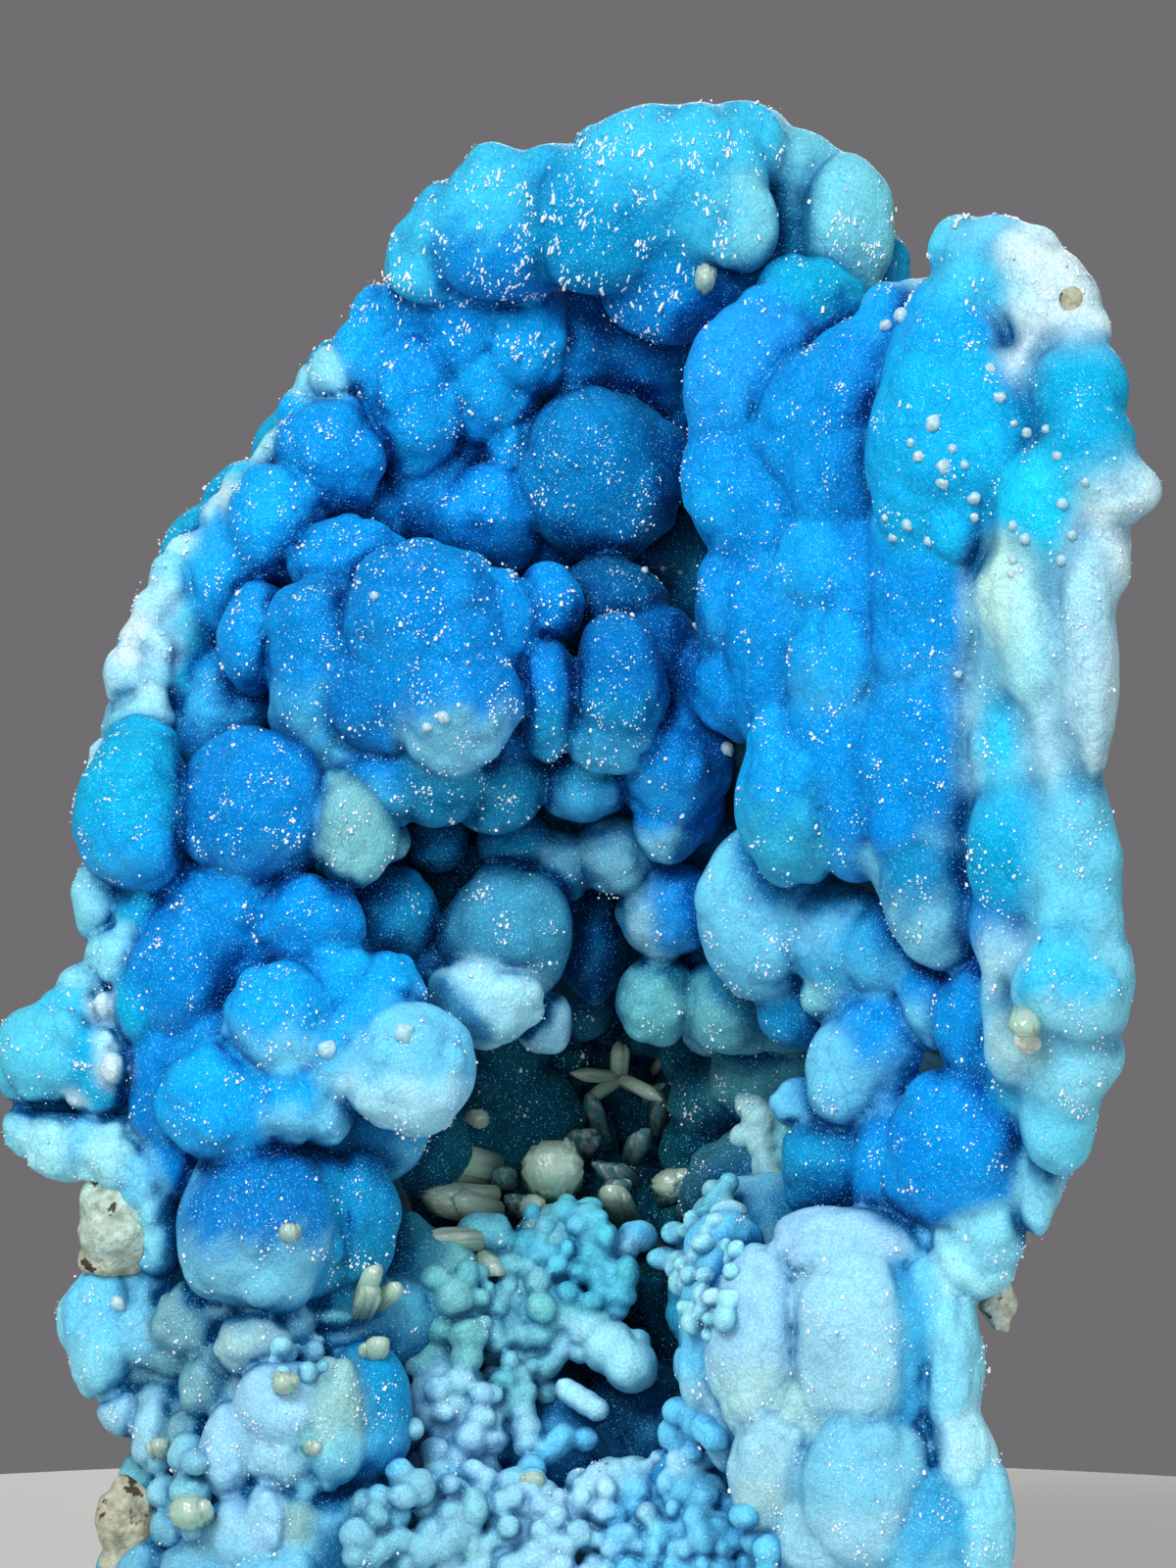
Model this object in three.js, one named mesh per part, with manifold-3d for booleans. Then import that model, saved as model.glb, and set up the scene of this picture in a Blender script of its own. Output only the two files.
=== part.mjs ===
// A specimen of botryoidal hemimorphite: an open, cave-like crust of rounded blue lobes on its matrix, sawn flat
// underneath, with clear and pale crystals standing on the crust. Millimetres, +Z up, front towards -Y, and the
// origin at the middle of the sawn base.
import * as THREE from "three";
import { mergeVertices } from "three/addons/utils/BufferGeometryUtils.js";
import Module from "manifold-3d";

const EYE_DISTANCE = 300; // lobes are laid out as they line up from an eye this far in front
const EYE_HEIGHT = 45;
const MIDDLE = { across: -1.3, back: 7.3 }; // middle of the finished outline, moved onto the origin
const BASE_CUT = { width: 120, depth: 120, height: 40 }; // what the saw takes off below z = 0
const SEAT_GAP = 0.3; // between a crystal and the crust that it stands on
const CELL = 2.35; // spacing of the grid that the crust's facets follow
const PROBE = 0.01; // step used to find which way the surface faces
const FILLED = 0.3 * CELL; // depth given to a grid node that is filled in afterwards
const AXES = [new THREE.Vector3(1, 0, 0), new THREE.Vector3(0, 1, 0), new THREE.Vector3(0, 0, 1)];
const CUBE = [0, 1, 2, 3, 4, 5, 6, 7].map((corner) => [corner & 1, (corner >> 1) & 1, (corner >> 2) & 1]);
const CUBE_EDGES = CUBE.flatMap((from) => [0, 1, 2].filter((axis) => !from[axis])
  .map((axis) => [from, from.map((value, other) => (other === axis ? 1 : value))]));

const CRUST_COLOUR = 0x2f8fd0;
const CRYSTAL_COLOUR = 0xe4efe0;

// Each lobe is [across, up, back, half width, half height], as seen from the eye point.
const CROWN = [
  [-8.0, 72.5, 3.0, 1.8, 1.6], [-5.0, 74.2, 3.0, 2.6, 2.4], [-2.0, 74.2, 2.0, 2.6, 2.6],
  [1.2, 75.0, 2.5, 2.6, 3.0], [4.5, 75.6, 3.0, 3.0, 3.2], [7.5, 76.3, 3.0, 2.6, 2.6],
  [7.6, 74.2, 1.0, 1.7, 2.2], [9.3, 77.3, 4.0, 1.4, 1.5], [11.2, 75.2, 3.0, 1.8, 2.0],
  [13.6, 73.2, 3.0, 1.7, 2.8], [5.0, 77.8, 4.5, 2.4, 1.2], [2.2, 76.9, 4.5, 2.0, 1.5],
  [14.5, 70.6, 4.0, 1.4, 1.9], [3.0, 72.5, 3.5, 3.6, 1.8], [-2.0, 72.0, 3.0, 2.6, 1.4],
  [-6.0, 72.0, 3.5, 2.7, 1.6], [6.8, 70.2, 4.0, 3.3, 2.6], [10.0, 71.6, 4.0, 3.1, 2.7],
  [12.8, 70.0, 4.5, 2.4, 2.6],
];
const BACK_WALL = [
  [-6.4, 67.1, 8.0, 2.8, 2.8], [-3.0, 67.0, 8.0, 2.5, 3.3], [1.7, 67.6, 9.0, 3.2, 3.2],
  [5.0, 67.6, 10.0, 2.8, 2.8], [-8.7, 64.6, 7.0, 2.3, 3.3], [-12.7, 61.9, 5.0, 2.5, 2.5],
  [-8.4, 59.9, 8.5, 2.3, 2.3], [-3.6, 61.9, 7.5, 1.6, 1.5], [0.0, 62.0, 5.0, 2.3, 2.3],
  [1.0, 59.9, 6.5, 3.2, 3.2], [-4.4, 58.6, 7.0, 2.7, 2.7], [4.5, 57.0, 15.0, 3.6, 3.4],
  [-16.0, 57.6, 4.0, 2.5, 2.5], [-12.5, 65.0, 5.0, 2.3, 2.3], [-10.3, 68.0, 5.5, 2.1, 2.1],
  [-8.5, 70.0, 5.5, 2.3, 1.8], [-5.0, 70.0, 7.0, 2.8, 2.2], [-1.5, 70.0, 7.5, 2.4, 2.2],
  [-14.8, 60.0, 4.0, 2.1, 2.1], [3.2, 64.0, 12.0, 3.4, 3.4], [4.6, 60.6, 13.0, 3.2, 3.2],
  [-2.0, 64.0, 9.0, 2.8, 2.8],
];
const LEFT_RIM = [
  [-18.0, 56.0, 3.5, 1.9, 1.9], [-20.0, 57.0, 4.5, 1.6, 1.5], [-16.5, 60.0, 5.0, 1.4, 1.9],
  [-14.5, 63.0, 6.0, 1.4, 2.1], [-13.0, 65.6, 6.0, 1.4, 1.9], [-10.9, 68.5, 6.0, 1.5, 1.6],
  [-21.5, 54.5, 5.0, 1.8, 1.7], [-22.5, 52.5, 5.0, 1.9, 1.9], [-23.6, 50.0, 4.5, 1.5, 2.1],
  [-24.0, 47.4, 4.0, 1.7, 1.8], [-20.0, 53.0, 7.5, 2.7, 2.7], [-21.2, 49.8, 8.0, 2.6, 2.6],
  [-18.5, 48.5, 12.5, 2.8, 2.8], [-22.5, 46.0, 5.5, 2.2, 2.4],
];
const SWELL = [
  [-11.9, 56.4, 0.5, 2.7, 2.7], [-13.7, 53.0, 0.0, 2.6, 2.6], [-14.0, 50.5, 0.5, 2.3, 2.3],
  [-8.8, 53.9, -1.5, 3.3, 3.3], [-4.8, 54.3, 0.0, 2.0, 2.4], [-2.2, 54.8, 0.5, 1.7, 1.7],
  [0.0, 55.0, 2.0, 2.2, 2.2], [-6.7, 48.6, -3.0, 3.1, 3.1], [-2.2, 50.4, -1.5, 1.8, 2.9],
  [1.4, 50.4, -1.0, 2.1, 3.5], [-10.5, 45.5, -0.5, 3.2, 2.8], [-7.5, 46.5, -1.0, 2.5, 2.5],
  [-11.0, 50.0, -1.5, 3.1, 3.1], [4.8, 47.2, 1.0, 2.4, 2.4], [4.0, 44.0, 1.5, 2.4, 2.4],
  [0.0, 44.8, 1.5, 2.3, 2.1], [-3.0, 45.5, 0.5, 2.4, 2.3], [-17.3, 52.4, 2.0, 1.9, 1.9],
  [-16.5, 49.2, 3.0, 1.7, 1.7], [4.5, 51.0, 2.5, 2.2, 2.2], [6.6, 48.5, 3.0, 2.3, 2.3],
  [2.6, 53.4, 2.8, 2.1, 2.1], [-5.0, 51.4, -0.5, 2.6, 2.6],
];
const NICHE = [
  [-12.3, 43.1, 1.0, 1.8, 2.7], [-10.0, 42.0, 2.0, 1.5, 1.5], [-7.5, 41.9, 3.5, 1.7, 1.6],
  [-3.7, 42.7, 3.0, 1.9, 1.9], [-1.3, 40.6, 4.0, 1.8, 1.8], [1.5, 41.6, 3.0, 2.0, 2.0],
  [3.2, 38.7, 4.0, 2.1, 2.1], [-10.3, 38.5, 2.5, 2.5, 2.5], [-4.0, 37.6, 3.0, 3.2, 3.2],
  [-4.5, 34.8, 2.5, 2.5, 2.4], [0.4, 37.9, 8.0, 2.2, 2.7], [3.7, 34.1, 4.5, 2.1, 2.1],
  [7.0, 33.5, 5.0, 2.4, 2.3], [6.0, 41.6, 3.0, 2.5, 2.5], [-2.8, 32.8, 4.5, 1.8, 1.7],
];
const LEFT_WALL = [
  [-23.1, 43.9, 0.0, 2.5, 3.9], [-17.1, 43.3, 0.0, 3.2, 3.2], [-17.8, 38.3, -0.5, 2.6, 2.6],
  [-13.8, 37.2, -1.0, 2.7, 2.7], [-21.0, 38.4, 1.0, 2.5, 2.6], [-24.4, 38.5, 1.0, 1.6, 2.5],
  [-22.5, 33.5, 0.0, 1.9, 1.9], [-27.4, 31.4, 0.5, 2.4, 1.8], [-24.7, 31.0, -0.5, 1.5, 1.8],
  [-15.5, 33.2, -3.0, 2.7, 2.7], [-13.5, 31.0, -4.0, 1.9, 1.9], [-18.2, 27.6, -2.5, 3.1, 3.1],
  [-9.0, 30.7, -3.0, 3.4, 3.3], [-13.0, 29.4, -3.0, 2.4, 2.3], [-20.2, 34.5, -1.0, 2.7, 2.7],
  [-18.0, 31.5, -2.0, 2.7, 2.7], [-11.3, 34.5, -2.0, 2.7, 2.7], [-21.6, 30.0, 0.0, 2.5, 2.6],
  [-26.2, 27.4, 0.0, 2.1, 1.5], [-28.0, 28.2, 0.5, 1.5, 1.1], [-22.8, 25.0, 0.0, 2.1, 2.0],
  [-23.7, 23.2, -1.0, 1.7, 2.7], [-19.7, 24.2, -2.0, 1.6, 3.0], [-16.6, 22.4, -2.0, 3.9, 3.8],
  [-12.8, 24.0, -1.0, 2.1, 3.1], [-24.4, 17.0, 1.5, 2.0, 3.3], [-22.2, 20.0, 1.5, 2.2, 2.2],
];
const LOWER_LEFT = [
  [-22.4, 16.9, 0.0, 1.9, 1.8], [-18.7, 18.0, -2.0, 1.9, 1.8], [-16.2, 16.6, -3.0, 2.0, 1.6],
  [-14.6, 12.2, -4.0, 3.1, 3.1], [-11.0, 12.7, -3.0, 2.4, 3.1], [-18.0, 10.7, -3.0, 2.0, 2.0],
  [-21.8, 12.3, -1.0, 2.0, 2.0], [-23.2, 8.0, 0.0, 1.8, 2.0], [-16.5, 7.2, -4.0, 2.1, 2.7],
  [-19.6, 6.5, -3.0, 1.9, 1.9], [-10.0, 8.0, -3.0, 1.9, 1.9], [-7.4, 8.0, -3.0, 1.8, 2.2],
  [-15.0, 19.0, -1.0, 2.4, 2.2], [-12.5, 17.5, -1.0, 2.2, 2.4], [-20.5, 14.4, -1.0, 2.1, 2.0],
];
const CORAL = [
  [-7.0, 18.2, 3.0, 2.1, 3.1], [-1.3, 21.7, 4.0, 2.3, 2.2], [-3.5, 18.7, 4.0, 2.0, 1.9],
  [-3.0, 15.8, 4.0, 1.8, 1.9], [-7.0, 13.9, 1.5, 2.2, 2.0], [-5.4, 11.6, 1.0, 2.0, 1.9],
  [-3.4, 13.0, 1.5, 1.2, 2.2], [-0.5, 13.2, 2.5, 1.4, 1.4], [0.6, 16.8, 3.0, 1.4, 1.3],
  [2.1, 15.6, 2.0, 1.1, 1.0], [6.3, 21.0, 2.0, 2.2, 2.0], [5.9, 17.5, -0.5, 2.0, 3.1],
  [5.9, 12.4, -1.5, 1.9, 2.2], [4.9, 9.5, -3.0, 1.9, 2.0], [8.6, 7.5, -4.5, 1.6, 1.6],
  [-3.8, 7.9, -2.0, 1.4, 2.2], [-1.2, 7.0, -2.0, 1.6, 1.9], [0.7, 9.2, -1.5, 1.4, 1.6],
  [1.8, 6.4, -3.0, 1.8, 1.8], [6.3, 6.2, -4.0, 1.8, 1.8],
];
const RIGHT_WALL = [
  [11.4, 68.0, -0.5, 2.6, 2.5], [7.6, 65.2, 0.0, 2.8, 2.8], [7.9, 61.2, -0.5, 2.9, 2.9],
  [12.3, 62.6, -3.0, 3.2, 3.2], [15.0, 67.5, -3.0, 2.6, 3.0], [19.3, 61.2, -8.0, 4.5, 4.5],
  [18.0, 69.0, -6.0, 2.2, 2.2], [16.5, 65.0, -5.5, 3.0, 3.0], [7.0, 53.5, -0.5, 2.2, 2.8],
  [10.0, 53.5, -2.0, 2.6, 2.6], [9.5, 57.2, -2.0, 2.9, 2.9], [12.5, 59.0, -3.5, 2.9, 2.9],
  [14.9, 56.5, -5.0, 3.1, 3.1], [13.4, 50.9, -5.5, 2.7, 3.1], [17.5, 50.9, -7.5, 2.5, 2.5],
  [11.0, 44.1, -5.0, 2.9, 2.9], [13.4, 48.2, -6.0, 2.8, 2.8], [14.2, 42.5, -6.0, 1.6, 2.8],
  [18.5, 42.5, -8.0, 2.5, 3.1], [18.3, 38.3, -7.5, 2.7, 2.7], [16.5, 46.5, -7.0, 2.8, 2.8],
  [8.2, 48.2, -1.0, 2.9, 2.9], [20.5, 55.6, -9.5, 2.9, 2.9], [20.5, 47.0, -9.5, 3.0, 3.2],
];
const RIGHT_RIM = [
  [19.3, 72.2, -8.0, 1.6, 1.7], [20.6, 71.8, -9.0, 1.8, 1.7], [21.8, 72.2, -9.5, 1.4, 1.4],
  [23.0, 70.0, -10.0, 2.3, 2.4], [24.3, 67.8, -11.0, 1.9, 2.0], [20.6, 68.0, -8.0, 2.7, 2.7],
  [23.3, 65.4, -11.0, 2.5, 2.5], [25.6, 63.4, -13.0, 1.8, 2.6], [28.0, 60.0, -14.0, 1.4, 1.2],
  [26.0, 59.2, -13.0, 2.1, 3.0], [23.2, 59.0, -11.0, 3.0, 3.0], [22.6, 53.2, -11.0, 2.9, 4.4],
  [24.8, 54.0, -12.5, 1.8, 3.6], [23.0, 48.2, -11.0, 2.8, 4.0], [23.8, 45.0, -12.0, 1.8, 3.5],
  [23.0, 42.0, -11.5, 2.7, 2.7], [25.2, 41.0, -12.0, 1.8, 2.5], [23.8, 36.2, -12.0, 2.9, 4.0],
  [25.9, 35.0, -12.0, 1.5, 3.4], [23.8, 31.2, -11.0, 2.5, 2.6],
];
const RIGHT_LOWER = [
  [9.8, 37.9, 0.5, 3.7, 3.6], [14.5, 36.5, -3.0, 2.7, 2.9], [18.2, 34.3, -6.0, 1.7, 1.9],
  [20.2, 32.7, -7.0, 2.4, 2.4], [14.2, 30.5, -3.0, 2.8, 2.7], [19.8, 27.4, -6.0, 3.9, 3.8],
  [12.2, 24.7, -2.0, 2.9, 2.9], [16.0, 25.2, -3.0, 2.9, 2.9], [22.2, 24.0, -8.0, 1.9, 3.4],
  [23.0, 27.6, -9.0, 2.0, 3.0], [20.8, 20.5, -8.0, 2.0, 2.6], [11.5, 33.5, 1.0, 2.8, 2.8],
];
const CREAM_LOBE = [
  [12.9, 21.7, -6.0, 3.3, 1.7], [8.8, 15.8, -6.0, 2.2, 3.3], [13.4, 16.4, -8.0, 2.7, 3.9],
  [9.6, 10.0, -7.5, 2.0, 3.2], [14.7, 9.2, -8.5, 2.9, 3.3], [7.0, 18.5, -4.0, 1.7, 2.5],
  [16.5, 19.0, -8.0, 2.6, 3.0], [17.7, 16.7, -7.0, 2.2, 4.0], [18.0, 11.0, -7.0, 2.2, 4.0],
  [19.8, 7.0, -7.0, 2.0, 3.2], [17.0, 5.0, -7.5, 3.0, 2.8], [12.0, 4.8, -7.0, 2.9, 2.9],
];

// Lumps of the rock behind and under the crust: [across, back, up, radius], in the same frame but not spread.
const MATRIX = [
  [-4, 15.5, 66, 7.0], [5, 16.5, 66, 7.0], [11.5, 9, 65, 6.5], [-9, 13, 59, 7.0], [2, 20.5, 58, 6.5],
  [9.5, 12, 57, 6.0], [13, 4, 60, 6.5], [17, -1, 63, 5.5], [19, -5.5, 66, 3.8], [-15.5, 12, 50, 6.5],
  [-6, 12, 49, 8.5], [4, 13, 47, 8.0], [13, 5, 50, 8.0], [19, -2, 51, 5.5], [20.5, -5.5, 44, 4.5],
  [-17.5, 9, 38, 7.5], [-7, 13, 38, 7.5], [3, 20, 36, 7.0], [12, 10.5, 37, 8.0], [18.5, 0, 38, 6.5],
  [20.5, -2, 31, 5.0], [-16.5, 7.5, 27, 8.0], [-7.5, 15, 27, 7.0], [5, 24, 27, 6.5], [14.5, 11.5, 27, 7.5],
  [-15, 7, 16, 8.5], [-4, 14.5, 17, 8.0], [6, 18, 17, 8.0], [14.5, 7, 17, 8.5], [-15, 5, 5, 8.5],
  [-5, 8, 5, 9.5], [5, 9.5, 5, 9.5], [14, 3, 5, 8.5], [-10, -0.5, 4, 5.5], [-1, 0, 3.5, 5.0],
  [7, -1.5, 3.5, 5.0], [15.5, -3.5, 4, 5.0], [-19, 0, 4, 4.5],
];

// Six-sided crystals: a name, then its blades, each [foot across, up, back, direction across, up, back, half width,
// half thickness, length, tip length]. Feet are laid out as the lobes are, and blades of one crystal are joined.
const CRYSTALS = [
  ["crown_seed_left", [0.1, 71.4, 1.6, 0.0, -0.3, -1.0, 0.75, 0.7, 1.9, 0.5]],
  ["crown_seed_right", [5.8, 70.4, 1.4, 0.1, 0.2, -1.0, 0.6, 0.8, 2.4, 0.6]],
  ["blade_upper", [-5.2, 25.0, 8.6, -0.62, 0.22, -0.75, 1.3, 0.8, 5.4, 1.2]],
  ["blade_fan", [-5.0, 22.6, 6.6, -0.75, 0.3, -0.6, 1.3, 0.7, 4.6, 1.3],
    [-4.8, 22.8, 6.8, -0.5, 0.1, -0.9, 1.0, 0.6, 4.4, 1.2], [-5.4, 22.2, 6.4, -0.95, 0.15, -0.3, 0.8, 0.5, 3.8, 1.2]],
  ["blocky_crystal", [-1.8, 24.6, 8.0, 0.0, 0.35, -0.9, 1.8, 1.5, 4.2, 0.9]],
  ["pointed_crystal", [-5.4, 21.8, 2.6, -1.0, -0.02, -0.2, 0.85, 0.7, 4.1, 1.9]],
  ["striated_crystal", [1.8, 22.6, 9.2, -0.15, 0.5, -0.85, 0.9, 0.6, 4.4, 0.9]],
  ["slab_crystal", [6.4, 24.4, 11.6, -0.7, 0.1, -0.8, 1.2, 0.9, 4.6, 0.9]],
  ["star_cluster", [1.6, 29.4, 14.5, -0.05, 0.85, -0.6, 0.7, 0.45, 4.6, 1.0],
    [1.4, 29.8, 14.2, 0.75, -0.35, -0.85, 0.6, 0.45, 5.0, 1.3], [1.7, 29.6, 14.2, -0.85, -0.3, -0.8, 0.6, 0.45, 5.0, 1.3]],
  ["cavity_prism", [-5.4, 26.4, 10.2, -0.1, 0.6, -0.8, 0.8, 0.6, 3.6, 0.6]],
  ["ledge_prism", [-11.6, 18.6, -2.2, 0.35, 0.8, -0.7, 0.6, 0.5, 2.8, 0.7]],
  ["ledge_chunk", [-20.2, 7.6, -4.2, -0.1, 0.35, -1.0, 1.1, 0.9, 2.2, 0.6]],
  ["rim_facet", [22.3, 33.4, -13.6, -0.1, -0.5, -1.0, 0.9, 0.6, 2.4, 0.8]],
];

// How much larger a thing is than it looks at the depth of the eye's reference plane.
const spread = (back) => 1 + back / EYE_DISTANCE;

function placed(across, up, back) {
  const k = spread(back);
  return new THREE.Vector3(across * k - MIDDLE.across, back - MIDDLE.back, EYE_HEIGHT + (up - EYE_HEIGHT) * k);
}

function lobe([across, up, back, halfWidth, halfHeight]) {
  const k = spread(back);
  const half = new THREE.Vector3(halfWidth, (halfWidth + halfHeight) / 2, halfHeight).multiplyScalar(k);
  return { centre: placed(across, up, back), half };
}

function lump([across, back, up, radius]) {
  const centre = new THREE.Vector3(across - MIDDLE.across, back - MIDDLE.back, up);
  return { centre, half: new THREE.Vector3(radius, radius, radius) };
}

const LOBES = [
  ...CROWN, ...BACK_WALL, ...LEFT_RIM, ...SWELL, ...NICHE, ...LEFT_WALL,
  ...LOWER_LEFT, ...CORAL, ...RIGHT_WALL, ...RIGHT_RIM, ...RIGHT_LOWER, ...CREAM_LOBE,
];
const BALLS = [...LOBES.map(lobe), ...MATRIX.map(lump)];

// Distance from a point to the joined lobes, negative inside.
function distanceToCrust(point) {
  const offset = new THREE.Vector3();
  let nearest = Infinity;
  for (const { centre, half } of BALLS) {
    const stretched = offset.subVectors(point, centre).divide(half).length();
    nearest = Math.min(nearest, (stretched - 1) * Math.min(half.x, half.z));
  }
  return nearest;
}

// A grid of distances around the crust, with CELL between its nodes.
class DistanceGrid {
  constructor() {
    const bounds = new THREE.Box3();
    for (const { centre, half } of BALLS) {
      bounds.expandByPoint(centre.clone().sub(half)).expandByPoint(centre.clone().add(half));
    }
    this.low = bounds.min.subScalar(1.5 * CELL);
    this.count = bounds.max.clone().sub(this.low).divideScalar(CELL).addScalar(2.5).floor();
    this.steps = [1, this.count.x, this.count.x * this.count.y];
    this.values = new Float64Array(this.count.x * this.count.y * this.count.z);
    this.eachNode((i, j, k, index) => {
      this.values[index] = distanceToCrust(this.point(i, j, k));
    });
  }

  point(i, j, k) {
    return new THREE.Vector3(i, j, k).multiplyScalar(CELL).add(this.low);
  }

  eachNode(visit, shortBy = 0) {
    for (let k = 0; k < this.count.z - shortBy; k++) {
      for (let j = 0; j < this.count.y - shortBy; j++) {
        for (let i = 0; i < this.count.x - shortBy; i++) {
          visit(i, j, k, i + j * this.steps[1] + k * this.steps[2]);
        }
      }
    }
  }

  inside(index) {
    return this.values[index] < 0;
  }

  // Everything that can't be reached from the grid's corner becomes solid, so no sealed hollow is left.
  fillHollows() {
    const reached = new Uint8Array(this.values.length);
    const open = [0];
    reached[0] = 1;
    while (open.length) {
      const index = open.pop();
      for (const step of this.steps) {
        for (const next of [index - step, index + step]) {
          if (next < 0 || next >= reached.length || reached[next] || this.inside(next)) continue;
          reached[next] = 1;
          open.push(next);
        }
      }
    }
    reached.forEach((flag, index) => {
      if (!flag && !this.inside(index)) this.values[index] = -FILLED;
    });
  }

  // Fills the square between two solid nodes that touch only across a diagonal. Returns true if any was filled.
  joinDiagonals() {
    let changed = false;
    const fill = (indices) => indices.forEach((index) => {
      if (!this.inside(index)) {
        this.values[index] = -FILLED;
        changed = true;
      }
    });
    const [x, y, z] = this.steps;
    this.eachNode((i, j, k, index) => {
      for (const [u, v] of [[x, y], [y, z], [x, z]]) {
        const square = [index, index + u, index + v, index + u + v];
        const [a, b, c, d] = square.map((node) => this.inside(node));
        if (a === d && b === c && a !== b) fill(square);
      }
      const cube = CUBE.map(([a, b, c]) => index + a * x + b * y + c * z);
      const solid = cube.filter((node) => this.inside(node));
      const lone = solid.length === 2 ? solid : cube.filter((node) => !this.inside(node));
      if (lone.length === 2 && cube.indexOf(lone[0]) + cube.indexOf(lone[1]) === 7
        && [0, 1, 2, 3].includes(cube.indexOf(lone[0]))) fill(cube);
    }, 1);
    return changed;
  }
}

// The point of one cell where the crust's surface passes: the mean of its crossings, moved onto the lobes.
function cellVertex(grid, i, j, k, index) {
  const sum = new THREE.Vector3();
  let crossings = 0;
  for (const [from, to] of CUBE_EDGES) {
    const [a, b] = [from, to].map((c) => index + c[0] * grid.steps[0] + c[1] * grid.steps[1] + c[2] * grid.steps[2]);
    if (grid.inside(a) === grid.inside(b)) continue;
    const t = grid.values[a] / (grid.values[a] - grid.values[b]);
    sum.add(new THREE.Vector3(...from).lerp(new THREE.Vector3(...to), t));
    crossings++;
  }
  if (!crossings) return null;
  const local = sum.divideScalar(crossings);
  const point = grid.point(i + local.x, j + local.y, k + local.z);
  for (let pass = 0; pass < 3; pass++) {
    const here = distanceToCrust(point);
    const slope = new THREE.Vector3(...AXES.map((axis) => {
      return (distanceToCrust(point.clone().addScaledVector(axis, PROBE)) - here) / PROBE;
    }));
    point.addScaledVector(slope, -here / Math.max(slope.lengthSq(), 0.2));
  }
  const margin = 0.02 * CELL;
  return point.clamp(grid.point(i, j, k).addScalar(margin), grid.point(i + 1, j + 1, k + 1).subScalar(margin));
}

// One vertex for each cell that the surface crosses, and one quad across each grid edge that it crosses.
function crustGeometry() {
  const grid = new DistanceGrid();
  do grid.fillHollows();
  while (grid.joinDiagonals());
  const points = [];
  const vertexOf = new Map();
  grid.eachNode((i, j, k, index) => {
    const point = cellVertex(grid, i, j, k, index);
    if (!point) return;
    vertexOf.set(index, points.length);
    points.push(point);
  }, 1);
  const triangles = [];
  grid.eachNode((i, j, k, index) => {
    grid.steps.forEach((step, axis) => {
      const beyond = index + step;
      if (beyond >= grid.values.length || grid.inside(index) === grid.inside(beyond)) return;
      const u = grid.steps[(axis + 1) % 3];
      const v = grid.steps[(axis + 2) % 3];
      const ring = [index - u - v, index - v, index, index - u].map((cell) => vertexOf.get(cell));
      if (!grid.inside(index)) ring.reverse();
      const [a, b, c, d] = ring;
      const split = points[a].distanceTo(points[c]) < points[b].distanceTo(points[d]);
      triangles.push(...(split ? [a, b, c, a, c, d] : [a, b, d, b, c, d]));
    });
  });
  const geometry = new THREE.BufferGeometry().setFromPoints(points);
  geometry.setIndex(triangles);
  return geometry;
}

const wasm = await Module();
wasm.setup();

function toManifold(geometry) {
  const bare = geometry.clone();
  bare.deleteAttribute("normal");
  bare.deleteAttribute("uv");
  const welded = mergeVertices(bare, 1e-4);
  return new wasm.Manifold(new wasm.Mesh({
    numProp: 3,
    vertProperties: new Float32Array(welded.attributes.position.array),
    triVerts: new Uint32Array(welded.index.array),
  }));
}

function toGeometry(manifold) {
  const { vertProperties, triVerts } = manifold.getMesh();
  const geometry = new THREE.BufferGeometry();
  geometry.setAttribute("position", new THREE.BufferAttribute(new Float32Array(vertProperties), 3));
  geometry.setIndex(new THREE.BufferAttribute(new Uint32Array(triVerts), 1));
  geometry.computeVertexNormals();
  return geometry;
}

function crustSolid() {
  const saw = new THREE.BoxGeometry(BASE_CUT.width, BASE_CUT.depth, BASE_CUT.height);
  saw.translate(0, 0, -BASE_CUT.height / 2);
  return toManifold(crustGeometry()).subtract(toManifold(saw));
}

// A six-sided blade that stands along +Y from its foot, closed by a sloped tip.
function blade(halfWidth, halfThickness, length, tip) {
  const profile = [[0, 0], [1, 0], [1, length - tip], [0.3, length], [0, length]];
  const geometry = new THREE.LatheGeometry(profile.map(([r, h]) => new THREE.Vector2(r, h)), 6);
  geometry.scale(halfWidth, 1, halfThickness);
  return geometry;
}

function bladeSolid([across, up, back, dx, dz, dy, halfWidth, halfThickness, length, tip]) {
  const geometry = blade(halfWidth, halfThickness, length, tip);
  const foot = placed(across, up, back);
  geometry.applyQuaternion(turnTo(dx, dy, dz)).translate(foot.x, foot.y, foot.z);
  return toManifold(geometry);
}

function turnTo(dx, dy, dz) {
  const direction = new THREE.Vector3(dx, dy, dz).normalize();
  return new THREE.Quaternion().setFromUnitVectors(new THREE.Vector3(0, 1, 0), direction);
}

// Joins a crystal's blades, and cuts them clear of the crust along the first blade's direction and to each side.
function crystalSolid(blades, crust) {
  const [, , , dx, dz, dy] = blades[0];
  let solid = wasm.Manifold.union(blades.map(bladeSolid)).subtract(crust);
  for (const side of [[0, 1, 0], [1, 0, 0], [-1, 0, 0], [0, 0, 1], [0, 0, -1]]) {
    const shift = new THREE.Vector3(...side).applyQuaternion(turnTo(dx, dy, dz)).multiplyScalar(SEAT_GAP);
    solid = solid.subtract(crust.translate(shift.toArray()));
  }
  return solid;
}

function addPiece(group, name, manifold, colour, roughness) {
  const material = new THREE.MeshStandardMaterial({ color: colour, roughness, metalness: 0 });
  const mesh = new THREE.Mesh(toGeometry(manifold), material);
  mesh.name = name;
  group.add(mesh);
}

const specimen = new THREE.Group();
const crust = crustSolid();
addPiece(specimen, "crust", crust, CRUST_COLOUR, 0.45);
for (const [name, ...blades] of CRYSTALS) {
  addPiece(specimen, name, crystalSolid(blades, crust), CRYSTAL_COLOUR, 0.15);
}

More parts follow.
